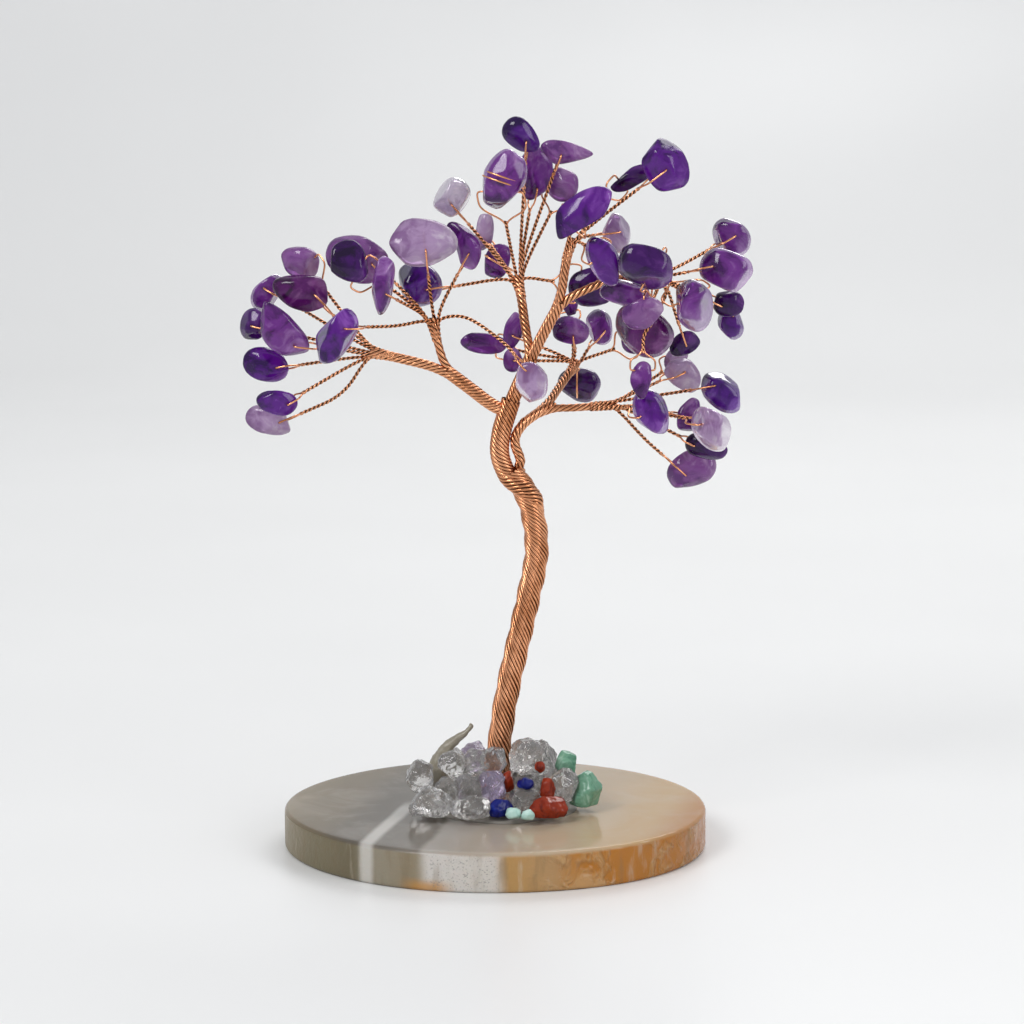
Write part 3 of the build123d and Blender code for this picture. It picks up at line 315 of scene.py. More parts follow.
class Shader(Nodes):
    """The nodes of a material."""

    def __init__(self, name):
        self.material = bpy.data.materials.new(name)
        self.material.use_nodes = True
        super().__init__(self.material.node_tree)
        self.surface = self.tree.nodes["Principled BSDF"]
        self.place = self.add("ShaderNodeTexCoord")["Object"]

    def stored(self, name):
        """A value that the mesh carries by name."""
        return self.add("ShaderNodeAttribute", attribute_name=name)["Fac"]

    def noise(self, scale, detail=3.0, rough=0.55, warp=0.0, place=None):
        inputs = {"Vector": place or self.place, "Scale": scale, "Detail": detail}
        inputs |= {"Roughness": rough, "Distortion": warp}
        return self.add("ShaderNodeTexNoise", inputs)["Fac"]

    def ramp(self, share, stops):
        made = self.tree.nodes.new("ShaderNodeValToRGB")
        made.color_ramp.interpolation = "EASE"
        points = made.color_ramp.elements
        while len(points) < len(stops):
            points.new(0.5)
        for point, (place, colour) in zip(points, stops):
            point.position = place
            point.color = (*colour, 1.0)
        self.feed(made.inputs["Fac"], share)
        return made.outputs["Color"]

    def mix(self, share, a, b, strength=1.0):
        """From one colour to another by a share, and no further than the strength."""
        if strength < 1.0:
            share = self.math("MULTIPLY", share, strength)
        return self.add("ShaderNodeMix", {"Factor": share, "A": a, "B": b}, data_type="RGBA")["Result"]

    def bump(self, height, strength, distance):
        inputs = {"Height": height, "Strength": strength, "Distance": distance}
        self.feed(self.surface.inputs["Normal"], self.add("ShaderNodeBump", inputs)["Normal"])

    def between(self, value, low, high):
        """0 up to the low end and 1 from the high end on; with low above high it runs the other way."""
        inputs = {"Value": value, "From Min": low, "From Max": high}
        return self.add("ShaderNodeMapRange", inputs, interpolation_type="SMOOTHSTEP")["Result"]

    def distance(self, value, place):
        return self.math("ABSOLUTE", self.math("SUBTRACT", value, place))

    def finish(self, colour, roughness, **inputs):
        """Feeds the surface; an input's name has underscores for its spaces."""
        self.feed(self.surface.inputs["Base Color"], colour)
        self.feed(self.surface.inputs["Roughness"], roughness)
        for name, value in inputs.items():
            self.feed(self.surface.inputs[name.replace("_", " ")], value)
        return self.material


def amethyst(look):
    """Polished amethyst, banded from deep to pale, with cloudy veils inside."""
    deep, body, pale, through, _ = LOOKS[look]
    shader = Shader(f"amethyst_{look}")
    cloud = shader.noise(210.0, detail=4.0, warp=1.2)
    share = shader.math("ADD", cloud, shader.math("MULTIPLY", shader.stored("zone"), 0.16))
    colour = shader.ramp(share, [(0.30, deep), (0.52, body), (0.84, pale)])
    veil = shader.between(shader.noise(520.0, detail=6.0, rough=0.7, warp=2.5), 0.58, 0.80)
    colour = shader.mix(veil, colour, pale, 0.55)
    # painted shade: darker towards the deep colour in the dent round the drill hole
    colour = shader.mix(shader.stored("drilled"), colour, deep, 0.55)
    grain = shader.noise(1400.0)
    shader.bump(grain, 0.05, 0.0002)
    roughness = shader.math("MULTIPLY_ADD", grain, 0.12, 0.03)
    return shader.finish(
        colour, roughness, Transmission_Weight=through, Specular_IOR_Level=STONE_GLOSS, IOR=1.54
    )


def copper():
    """Drawn copper wire: dulled in patches, with painted shade that darkens it between the strands and leaves its
    crowns bright.
    """
    shader = Shader("copper_wire")
    tarnish = shader.noise(160.0, detail=4.0, rough=0.6)
    colour = shader.ramp(tarnish, [(0.25, settings().copper_dull), (0.6, settings().copper_bright)])
    # painted shade: the share of the wire kept out of the crevice colour, by how far its surface faces out of its
    # bundle
    out_of_painted_shade = shader.between(shader.stored("crown"), 0.22, 0.95)
    colour = shader.mix(out_of_painted_shade, PAINTED_CREVICE_SHADE, colour)
    scratch = shader.noise(2600.0, detail=2.0)
    shader.bump(scratch, 0.06, 0.0001)
    worn = shader.math("MULTIPLY_ADD", scratch, 0.14, 0.14)
    roughness = shader.math("ADD", worn, shader.math("MULTIPLY_ADD", out_of_painted_shade, -0.3, 0.3))
    return shader.finish(colour, roughness, Metallic=1.0)


def agate():
    """Banded agate: grey on the left, a white seam, a frosted stretch of rim, and honey tan on the right."""
    shader = Shader("banded_agate")
    x, y, z = shader.add("ShaderNodeSeparateXYZ", [shader.place])
    warp = shader.math("MULTIPLY", shader.math("SUBTRACT", shader.noise(38.0, detail=4.0), 0.5), 0.005)

    def across(place):
        return shader.math("MULTIPLY_ADD", shader.math("ADD", place, warp), 1 / AGATE_SPAN, 0.5)

    slanted = shader.math("MULTIPLY_ADD", y, AGATE_SLANT, x)
    top = shader.ramp(across(slanted), AGATE_TOP)
    cloud = shader.between(shader.noise(70.0, detail=5.0, rough=0.6, warp=0.6), 0.45, 0.75)
    top = shader.mix(cloud, top, (0.50, 0.45, 0.39), 0.20)
    wandering = shader.math("MULTIPLY_ADD", warp, 0.35, slanted)
    seam = shader.between(shader.distance(wandering, -0.0166), 0.0021, 0.0006)
    seam = shader.math("MULTIPLY", seam, shader.between(y, 0.004, -0.004))  # in front only
    top = shader.mix(seam, top, SEAM_WHITE, SEAM_STRENGTH)

    wall = shader.ramp(across(x), AGATE_WALL)
    upright = shader.add("ShaderNodeMapping", {"Vector": shader.place, "Scale": (1.0, 1.0, 0.18)})
    bands = shader.noise(330.0, detail=4.0, rough=0.6, place=upright["Vector"])
    wall = shader.mix(shader.between(bands, 0.54, 0.70), wall, (0.55, 0.48, 0.38), 0.40)
    wall = shader.mix(shader.between(bands, 0.48, 0.30), wall, (0.17, 0.12, 0.06), 0.35)
    right = shader.between(x, 0.004, 0.016)
    lumps = shader.math("MULTIPLY", shader.between(shader.noise(190.0, warp=0.6), 0.48, 0.66), right)
    wall = shader.mix(lumps, wall, (0.50, 0.32, 0.15), 0.6)
    patch = shader.between(shader.distance(x, -0.0125), 0.006, 0.001)
    patch = shader.math("MULTIPLY", patch, shader.between(z, 0.0028, 0.0008))
    wall = shader.mix(patch, wall, (0.46, 0.21, 0.03), 0.8)
    frost = shader.between(shader.distance(x, -0.006), 0.008, 0.005)
    specks = shader.between(shader.noise(2600.0, detail=2.0), 0.55, 0.70)
    wall = shader.mix(shader.math("MULTIPLY", specks, frost), wall, (0.20, 0.19, 0.18), 0.6)
    wall = shader.mix(seam, wall, SEAM_WHITE, SEAM_STRENGTH)
    below = shader.between(z, SLAB_TOP * MM - 0.0002, SLAB_TOP * MM - 0.0009)
    colour = shader.mix(below, top, wall)

    grain = shader.noise(900.0, detail=4.0)
    rough_wall = shader.math("MULTIPLY", below, shader.math("MULTIPLY_ADD", right, -0.16, 0.26))
    roughness = shader.math("ADD", shader.math("MULTIPLY_ADD", grain, 0.06, 0.10), rough_wall)
    relief = shader.math("MULTIPLY_ADD", lumps, 3.0, shader.math("MULTIPLY", grain, 0.5))
    shader.bump(shader.math("MULTIPLY", relief, below), 0.45, 0.0007)
    gloss = shader.math("MULTIPLY_ADD", below, 0.20, 0.15)
    inside = {"Subsurface_Weight": 0.08, "Subsurface_Scale": 0.003}
    return shader.finish(colour, roughness, Specular_IOR_Level=gloss, IOR=1.5, **inside)


def glassy(name):
    """A clear stone chip with cracks and clouds in it."""
    body, pale, through, cloudiness = GLASSY[name]
    shader = Shader(name)
    crack = shader.between(shader.noise(700.0, detail=6.0, rough=0.75, warp=2.0), 0.50, 0.70)
    colour = shader.mix(crack, body, pale, cloudiness)
    grain = shader.noise(1500.0, detail=4.0)
    shader.bump(shader.noise(620.0, detail=4.0, rough=0.6), 0.5, 0.0005)
    roughness = shader.math("MULTIPLY_ADD", shader.math("MULTIPLY", crack, grain), 0.30, 0.02)
    return shader.finish(colour, roughness, Transmission_Weight=through, IOR=1.5)


def opaque_stone(name):
    """A tumbled stone with mottled colour and a polish."""
    deep, body, pale, through = OPAQUE[name]
    shader = Shader(name)
    mottle = shader.noise(420.0, detail=5.0, rough=0.65, warp=0.8)
    colour = shader.ramp(mottle, [(0.30, deep), (0.52, body), (0.78, pale)])
    grain = shader.noise(1600.0)
    shader.bump(grain, 0.12, 0.0002)
    roughness = shader.math("MULTIPLY_ADD", grain, 0.14, 0.08)
    return shader.finish(
        colour, roughness, Transmission_Weight=through, Specular_IOR_Level=STONE_GLOSS, IOR=1.5
    )


def clear_glue():
    """Set glue: clear, glossy and a little uneven."""
    shader = Shader("clear_glue")
    ripple = shader.noise(180.0, detail=2.0)
    shader.bump(ripple, 0.15, 0.0005)
    colour = shader.ramp(ripple, [(0.3, (0.42, 0.38, 0.33)), (0.7, (0.52, 0.48, 0.43))])
    roughness = shader.math("MULTIPLY_ADD", ripple, 0.10, 0.30)
    return shader.finish(colour, roughness, Transmission_Weight=0.30, IOR=1.35, Specular_IOR_Level=0.25)


FINISHES = {}  # made so far


def finish(name):
    """A finish by name, made once."""
    plain = {"copper": copper, "agate": agate, "glue": clear_glue}
    if name not in FINISHES:
        if name in plain:
            FINISHES[name] = plain[name]()
        else:
            make = amethyst if name in LOOKS else glassy if name in GLASSY else opaque_stone
            FINISHES[name] = make(name)
    return FINISHES[name]


def coat(mesh, look):
    """The mesh with one finish in place of what it had."""
    mesh.materials.clear()
    mesh.materials.append(finish(look))
    return mesh


def finished(name, shape, look):
    """A mesh out of a closed bmesh, with smooth faces and its finish."""
    bmesh.ops.recalc_face_normals(shape, faces=shape.faces)
    for face in shape.faces:
        face.smooth = True
    mesh = bpy.data.meshes.new(name)
    shape.to_mesh(mesh)
    shape.free()
    return coat(mesh, look)


def applied(holder):
    """The mesh that an object and its modifiers come to; the object is removed."""
    bpy.context.scene.collection.objects.link(holder)
    bpy.context.view_layer.update()
    mesh = bpy.data.meshes.new_from_object(holder.evaluated_get(bpy.context.evaluated_depsgraph_get()))
    data = holder.data
    bpy.data.objects.remove(holder)
    (bpy.data.meshes if isinstance(data, bpy.types.Mesh) else bpy.data.curves).remove(data)
    return mesh


# A twig inside its branch: how far back from the hub and how far aside
TWIG_START = (4.5, 0.55)
TWIG_INSIDE = (1.6, 0.75)
TWIG_ASIDE = 0.5  # where it leaves the hub
HUB_SHARE = 0.9  # of the hub's radius at which it leaves
NECK_SHARE = 0.4  # of a short twig that its straight end takes


class HungChip:
    """A chip with its axes, its hole and the wire loop that carries it."""

    def __init__(self, chip):
        self.chip = chip
        self.hub = HUBS[chip.spray]
        self.middle = self.hub + Vector(chip.reach)
        lean = math.radians(chip.lean)
        self.long = Vector((math.cos(lean), 0, math.sin(lean)))
        self.thick = Matrix.Rotation(math.radians(chip.roll), 3, self.long) @ Vector((0, 1, 0))
        self.wide = self.thick.cross(self.long)
        self.half_thickness = CHIP_FLATNESS * chip.width / 2
        came_from = self.hub + Vector(chip.via[-1]) if chip.via else self.hub
        toward = (came_from - self.middle).normalized()
        self.hole_share = HOLE_REACH * toward.dot(self.long)
        self.hole = self.middle + self.long * (self.hole_share * chip.length / 2)
        self.hole = self.hole + self.wide * self.bow_at(self.hole_share)
        self.away = (came_from - self.hole).normalized()
        drilled = min((self.thick, self.wide), key=lambda axis: abs(axis.dot(self.away)))
        self.pin = (drilled - self.away * drilled.dot(self.away)).normalized()
        edge, half_grip = self.grip()
        self.leg = half_grip + WIRE_DIAMETER / 2 + LOOP_CLEARANCE
        self.shoulder = edge + WIRE_DIAMETER / 2 + LOOP_CLEARANCE
        self.strand = (TWIG_DIAMETER - WIRE_DIAMETER) / 2
        self.neck = self.hole + self.away * (self.shoulder + NECK_SLOPE * (self.leg - self.strand))

    def half_at(self, share):
        """Half width and half thickness at a share of the half length."""
        swell = math.sqrt(max(0.0, 1 - abs(share) ** CHIP_ROUNDNESS))
        taper = 1 + self.chip.taper * share
        return swell * taper * self.chip.width / 2, swell * (1 + taper) / 2 * self.half_thickness

    def bow_at(self, share):
        return self.chip.bow * (1 - 2 * share * share)

    def local(self, vector):
        return Vector((vector.dot(self.long), vector.dot(self.wide), vector.dot(self.thick)))

    def placed(self, local):
        return self.middle + self.long * local.x + self.wide * local.y + self.thick * local.z

    def depth_along(self, start, way):
        """How far the chip's skin lies from a point inside it, in a direction of its own axes."""
        reached = 0.0
        while True:
            x, y, z = start + way * reached
            share = x / (self.chip.length / 2)
            if abs(share) >= CHIP_END:
                return reached
            half_width, half_thickness = self.half_at(share)
            if ((y - self.bow_at(share)) / half_width) ** 2 + (z / half_thickness) ** 2 > 1:
                return reached
            reached += MEASURE_STEP

    def grip(self):
        """The chip's reach towards the neck and its half breadth along the pin, over its whole swing."""
        hole = self.local(self.hole - self.middle)
        pin = self.local(self.pin)
        edge, half = 0.0, 0.0
        for turn in (-SWING, -SWING / 2, 0.0, SWING / 2, SWING):
            way = self.local(Matrix.Rotation(math.radians(turn), 3, self.pin) @ self.away)
            length = self.depth_along(hole, way)
            edge = max(edge, length)
            for i in range(GRIP_STEPS):
                point = hole + way * (length * i / GRIP_STEPS)
                half = max(half, self.depth_along(point, pin), self.depth_along(point, -pin))
        return edge, half

    def loop_route(self):
        """The wire from inside the twig, through the hole and back."""

        def at(along, across):
            return self.hole + self.away * along + self.pin * across

        neck = (self.neck - self.hole).dot(self.away)
        inner = neck + NECK_LEAD
        half = [
            at(inner, self.strand * 0.6),
            at(neck, self.strand),
            at((neck + self.shoulder) / 2, (self.leg + self.strand) / 2),
            at(self.shoulder, self.leg),
            at(self.shoulder * 0.5, self.leg),
            at(0.0, self.leg),
            at(0.0, self.leg * 0.7),
        ]
        other = [point - self.pin * 2 * (point - self.hole).dot(self.pin) for point in half]
        return half + other[::-1]

    def twig_route(self, arrival, side):
        """The twig's line from inside its branch, out of the hub and on to the neck."""
        start = self.hub + arrival * TWIG_START[0] + side * TWIG_START[1]
        inside = self.hub + arrival * TWIG_INSIDE[0] + side * TWIG_INSIDE[1]
        corners = [self.hub + Vector(point) for point in self.chip.via]
        free = (self.neck - self.hub).length - HUB_RADIUS
        before_neck = self.neck + self.away * min(NECK_LEAD, NECK_SHARE * free)
        first = corners[0] if corners else before_neck
        way = (first - self.hub).normalized()
        leave = self.hub + side * TWIG_ASIDE + way * HUB_RADIUS * HUB_SHARE
        return [start, inside, leave] + corners + [before_neck, self.neck]


# Tumbling of the chips
CHIP_GROWTH = 1.06
CHIP_FACETS = 11
FACET_NEAR = 0.76
FACET_FAR = 1.00
FACET_SOFTNESS = 0.10
CHIP_DETAIL = 4
HOLE_DENT = 0.10
HOLE_DENT_RADIUS = 0.42
PIT_SCALE = 5.0
PIT_DEPTH = 0.012
FIRST_CHIP_SEED = 11


def chip_mesh(hung, seed):
    """A tumbled chip: an oval with softened flats, a drilled dent on each side and fine pits."""
    chip = hung.chip
    random = np.random.default_rng(seed)
    normals = random.normal(size=(CHIP_FACETS, 3))
    normals /= np.linalg.norm(normals, axis=1)[:, None]
    depths = random.uniform(FACET_NEAR, FACET_FAR, CHIP_FACETS)
    half = np.array([chip.length / 2, chip.width / 2, hung.half_thickness])
    shape = bmesh.new()
    bmesh.ops.create_icosphere(shape, subdivisions=CHIP_DETAIL, radius=1.0)
    zone = shape.verts.layers.float.new("zone")
    drilled = shape.verts.layers.float.new("drilled")
    hole = hung.local(hung.hole - hung.middle)
    pin = hung.local(hung.pin)
    for vert in shape.verts:
        way = vert.co.normalized()
        half_width, half_thickness = hung.half_at(way.x)
        ring = math.hypot(way.y, way.z) or 1.0
        wide = way.y / ring * half_width / half[1]
        thick = way.z / ring * half_thickness / half[2]
        point = np.array([way.x, wide, thick]) * CHIP_GROWTH
        for normal, depth in zip(normals, depths):
            over = float(point @ normal) - depth
            point = point - normal * (over + math.sqrt(over * over + FACET_SOFTNESS**2)) / 2
        pits = noise.noise(Vector(point * PIT_SCALE) + Vector((seed, 0, 0))) * PIT_DEPTH
        local = Vector(point * half * (1 + pits))
        local.y += hung.bow_at(way.x)
        from_hole = local - hole
        from_axis = (from_hole - pin * from_hole.dot(pin)).length
        dent = math.exp(-((from_axis / HOLE_DENT_RADIUS) ** 2))
        vert[zone] = way.x
        # kept for the painted shade that the amethyst finish puts in the dent
        vert[drilled] = dent
        local -= pin * math.copysign(HOLE_DENT * dent, from_hole.dot(pin))
        vert.co = hung.placed(local) * MM
    return finished(chip.name or f"{chip.spray}_chip", shape, chip.look)


def joined(name, meshes):
    """One mesh out of several, each with its own material."""
    materials = []
    shape = bmesh.new()
    for mesh in meshes:
        start = len(shape.faces)
        shape.from_mesh(mesh)
        shape.faces.ensure_lookup_table()
        used = list(mesh.materials)
        for face in shape.faces[start:]:
            material = used[face.material_index]
            if material not in materials:
                materials.append(material)
            face.material_index = materials.index(material)
    made = bpy.data.meshes.new(name)
    shape.to_mesh(made)
    shape.free()
    for material in materials:
        made.materials.append(material)
    for mesh in meshes:
        bpy.data.meshes.remove(mesh)
    return made


def show(name, mesh, body, replaced):
    """Puts a finished mesh into the scene in place of CAD nodes, on the body that carries it."""
    piece = bpy.data.objects.new(name, mesh)
    bpy.context.scene.collection.objects.link(piece)
    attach(piece, body)
    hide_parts(*replaced)


def twisted_wire_group():
    """Geometry Nodes that lay strands round each spline of a curve, all turning the same way."""
    group = bpy.data.node_groups.new("twisted_wire", "GeometryNodeTree")
    sockets = {"Geometry": "Geometry", "Strands": "Int", "Lay radius": "Float", "Strand radius": "Float"}
    sockets |= {"Pitch": "Float", "Tightening": "Float", "Lobes": "Float", "Lobe rise": "Float"}
    sockets |= {"Crown lift": "Float", "Step": "Float", "Sides": "Int", "Wire": "Material"}
    for label, kind in sockets.items():
        group.interface.new_socket(label, in_out="INPUT", socket_type=f"NodeSocket{kind}")
    group.interface.new_socket("Geometry", in_out="OUTPUT", socket_type="NodeSocketGeometry")
    net = Nodes(group)

    def vector(operation, *inputs):
        made = net.add("ShaderNodeVectorMath", inputs, operation=operation)
        return made["Value" if operation == "DOT_PRODUCT" else "Vector"]

    def scaled(direction, amount):
        inputs = {0: direction, "Scale": amount}
        return net.add("ShaderNodeVectorMath", inputs, operation="SCALE")["Vector"]

    def kept(geometry, name, value, kind="FLOAT_VECTOR"):
        """The geometry with a value stored on its points, by name."""
        inputs = {"Geometry": geometry, "Name": name, "Value": value}
        return net.add("GeometryNodeStoreNamedAttribute", inputs, data_type=kind, domain="POINT")[0]

    def recalled(name):
        made = net.add("GeometryNodeInputNamedAttribute", {"Name": name}, data_type="FLOAT_VECTOR")
        return made["Attribute"]

    def position():
        return net.add("GeometryNodeInputPosition")[0]

    given = net.add("NodeGroupInput")
    inputs = {"Curve": given["Geometry"], "Length": given["Step"]}
    even = net.add("GeometryNodeResampleCurve", inputs, mode="LENGTH")[0]
    inputs = {"Geometry": even, "Amount": given["Strands"]}
    copies = net.add("GeometryNodeDuplicateElements", inputs, domain="SPLINE")

    # Angle of each strand round the middle line, and how far out it lies
    run = net.add("GeometryNodeSplineParameter")
    share = net.math("DIVIDE", copies["Duplicate Index"], given["Strands"])
    tighter = net.math("MULTIPLY_ADD", given["Tightening"], run["Factor"], 1.0)
    wound = net.math("MULTIPLY", net.math("DIVIDE", run["Length"], given["Pitch"]), tighter)
    angle = net.math("MULTIPLY", net.math("SUBTRACT", share, wound), 2 * math.pi)
    lobe = net.math("MULTIPLY", net.math("MULTIPLY", share, given["Lobes"]), 2 * math.pi)
    raised = net.math("MULTIPLY_ADD", net.math("COSINE", lobe), given["Lobe rise"], 1.0)
    lay = net.math("MULTIPLY", given["Lay radius"], raised)
    normal = net.add("GeometryNodeInputNormal")[0]
    across = vector("CROSS_PRODUCT", net.add("GeometryNodeInputTangent")[0], normal)
    along_normal = scaled(normal, net.math("MULTIPLY", lay, net.math("COSINE", angle)))
    along_across = scaled(across, net.math("MULTIPLY", lay, net.math("SINE", angle)))
    away = kept(copies["Geometry"], "outward", vector("ADD", along_normal, along_across))
    laid = net.add("GeometryNodeSetPosition", {"Geometry": away, "Offset": recalled("outward")})[0]

    # Round wires along the strands; their crowns are what faces away from the middle line
    inputs = {"Resolution": given["Sides"], "Radius": given["Strand radius"]}
    ring = net.add("GeometryNodeCurvePrimitiveCircle", inputs, mode="RADIUS")[0]
    inputs = {"Curve": kept(laid, "middle", position()), "Profile Curve": ring, "Fill Caps": True}
    swept = net.add("GeometryNodeCurveToMesh", inputs)[0]
    from_middle = vector("NORMALIZE", vector("SUBTRACT", position(), recalled("middle")))
    facing = vector("DOT_PRODUCT", from_middle, vector("NORMALIZE", recalled("outward")))
    # the crown value, raised by Crown lift, sets where the copper finish paints shade between the strands
    crowned = kept(swept, "crown", net.math("ADD", facing, given["Crown lift"]), "FLOAT")
    smooth = net.add("GeometryNodeSetShadeSmooth", [crowned])[0]
    real = net.add("GeometryNodeRealizeInstances", [smooth])[0]
    painted = net.add("GeometryNodeSetMaterial", {"Geometry": real, "Material": given["Wire"]})[0]
    net.add("NodeGroupOutput", [painted])
    return group


def wire_mesh(
    name, routes, strands, lay, strand, pitch,
    step=0.25, sides=8, lift=1.0, order=3, tightening=0.0, lobes=0.0, rise=0.0,
):
    """Copper wire along each route, twisted where there is more than one strand."""
    group = bpy.data.node_groups.get("twisted_wire") or twisted_wire_group()
    curve = bpy.data.curves.new(name, "CURVE")
    curve.dimensions = "3D"
    curve.twist_mode = "MINIMUM"
    for route in routes:
        spline = curve.splines.new("NURBS")
        spline.points.add(len(route) - 1)
        for point, place in zip(spline.points, route):
            point.co = (*(place * MM), 1.0)
        spline.use_endpoint_u = True
        spline.order_u = order
        spline.resolution_u = 12
    holder = bpy.data.objects.new(name, curve)
    modifier = holder.modifiers.new("twisted_wire", "NODES")
    modifier.node_group = group
    values = {
        "Strands": strands,
        "Lay radius": lay * MM,
        "Strand radius": strand * MM,
        "Pitch": pitch * MM,
        "Step": step * MM,
        "Sides": sides,
        "Tightening": tightening,
        "Lobes": lobes,
        "Lobe rise": rise,
        "Crown lift": lift,
        "Wire": finish("copper"),
    }
    for item in group.interface.items_tree:
        if item.in_out == "INPUT" and item.name in values:
            modifier[item.identifier] = values[item.name]
    mesh = applied(holder)
    if not mesh.polygons:
        raise RuntimeError(f"{name} came out empty")
    for stray in ("outward", "middle"):
        mesh.attributes.remove(mesh.attributes[stray])
    return mesh


def trunk_turns():
    """The trunk's axis, and the middle lines of the two bundles wound round it."""
    rail = bpy.data.curves.new("trunk_axis", "CURVE")
    rail.dimensions = "3D"
    spline = rail.splines.new("BEZIER")
    spline.bezier_points.add(len(TRUNK_ROUTE) - 1)
    for point, (x, z) in zip(spline.bezier_points, TRUNK_ROUTE):
        point.co = above_slab(x, 0, z)
        point.handle_left_type = point.handle_right_type = "AUTO"
    spline.resolution_u = 24
    mesh = applied(bpy.data.objects.new("trunk_axis", rail))
    points = [vert.co.copy() for vert in mesh.vertices]
    bpy.data.meshes.remove(mesh)
    reach = [0.0]
    for before, here in zip(points, points[1:]):
        reach.append(reach[-1] + (here - before).length)
    turns = reach[-1] / TWIST_PITCH
    count = math.ceil(turns * TWIST_STEPS)
    axis, main, side = [], [], []
    for i in range(count + 1):
        share = i / count
        at = int(np.searchsorted(reach, share * reach[-1], side="right")) - 1
        at = min(at, len(points) - 2)
        run = reach[at + 1] - reach[at]
        here = points[at].lerp(points[at + 1], (share * reach[-1] - reach[at]) / run)
        along = (points[at + 1] - points[at]).normalized()
        across = -along.cross(Vector((0, 1, 0))).normalized()
        angle = math.pi + 2 * math.pi * turns * (1 - share)
        away = across * math.cos(angle) + Vector((0, 1, 0)) * math.sin(angle)
        axis.append(here)
        main.append(here + away * MAIN_OFFSET)
        side.append(here - away * SIDE_OFFSET)
    return axis, main, side


STRAND = 0.33  # half the breadth of one strand of a bundle
CORE_SINK = 0.35  # of a strand that the core lies under the strands' middles
CORE_LEAST = 0.1
CORE_STEP = 0.6
ROPE_DIAMETER = 4.5
ROPE_TIGHTENING = 0.45  # the rope is laid tighter towards its top
ROPE_LOBES = 3.0  # plies that stand proud
ROPE_RISE = 0.07
MAIN_FULLNESS = 1.16  # of the main bundle where it is laid open beside the eye
SIDE_PITCH = 0.7  # of the main bundle's pitch
BRANCH_PITCH = 0.75
PARTING_STEPS = 7  # of the two bundles, at the top of the rope
PLAIN_PITCH = 5.0  # of a single wire, which has no twist to show


def bundle(name, route, diameter, pitch, **turning):
    """Strands laid round a bundle's middle line, touching each other, over a plain inner core that is coloured all
    over with painted shade.
    """
    lay = diameter / 2 - STRAND
    slant = math.hypot(1.0, 2 * math.pi * lay / pitch)
    strands = max(3, round(math.pi * lay / STRAND / slant) + 1)
    outer = wire_mesh(name, [route], strands, lay, STRAND, pitch, lift=0.0, **turning)
    thick = max(CORE_LEAST, lay - STRAND * CORE_SINK)
    # a lift of -1 puts the whole core in the painted crevice shade colour
    core = wire_mesh(name + "_core", [route], 1, 0.0, thick, pitch, step=CORE_STEP, lift=-1.0)
    return [outer, core]


WRAP_STEPS = 26
WRAP_STEPS_PER_TURN = 12
WRAP_START = -0.25  # shares of the chip's half length
WRAP_REACH = 0.35
WRAP_AIR = 0.02


def bell_wraps(hung):
    """Two extra turns of wire round the chip that the photograph shows wrapped."""
    points = []
    for i in range(WRAP_STEPS + 1):
        angle = 2 * math.pi * i / WRAP_STEPS_PER_TURN
        share = WRAP_START + WRAP_REACH * i / WRAP_STEPS
        half_width, half_thickness = hung.half_at(share)
        wide = (half_width + WRAP_AIR) * math.cos(angle)
        thick = (half_thickness + WRAP_AIR) * math.sin(angle)
        points.append(hung.placed(Vector((share * hung.chip.length / 2, wide, thick))))
    return points


# Outline of the slab, as sawn
SLAB_WIDTH = 81.0
SLAB_DEPTH = 75.0
SLAB_WAVE = 0.5
SLAB_WAVES = ((3, 0.6, 0.6), (5, 2.0, 0.4))
SLAB_SIDES = 420
SLAB_EDGE_ROUND = 0.8
TOP_RINGS = (0.15, 0.3, 0.45, 0.6, 0.72, 0.82, 0.9, 0.95)  # shares of the radius
ARRIS_STEPS = 6
WALL_STEPS = 12


def slab_rings():
    """Rings from the top's middle to the underside: share of the radius, inset and height."""
    arris = []
    for i in range(ARRIS_STEPS + 1):
        angle = math.pi / 2 * i / ARRIS_STEPS
        arris.append((SLAB_EDGE_ROUND * (1 - math.sin(angle)), SLAB_EDGE_ROUND * (1 - math.cos(angle))))
    straight = SLAB_TOP - 2 * SLAB_EDGE_ROUND
    rings = [(share, 0.0, SLAB_TOP) for share in TOP_RINGS]
    rings += [(1.0, inset, SLAB_TOP - drop) for inset, drop in arris]
    for i in range(1, WALL_STEPS):
        rings.append((1.0, 0.0, SLAB_TOP - SLAB_EDGE_ROUND - straight * i / WALL_STEPS))
    return rings + [(1.0, drop, inset) for inset, drop in arris]


def wall_hollow(x, y, height):
    """Depth of the sawn wall's lumps: most at half height, and on the right."""
    middle = 1.0 - abs(2 * height / SLAB_TOP - 1) ** 6
    lump = noise.noise(Vector((x, y, height * 0.8)) * 0.30) * 0.35
    lump += noise.noise(Vector((x, y, height)) * 0.85) * 0.22
    right = min(1.0, max(0.25, (x + 12) / 30))
    return (abs(lump) + 0.05) * right * (0.25 + 0.75 * middle)


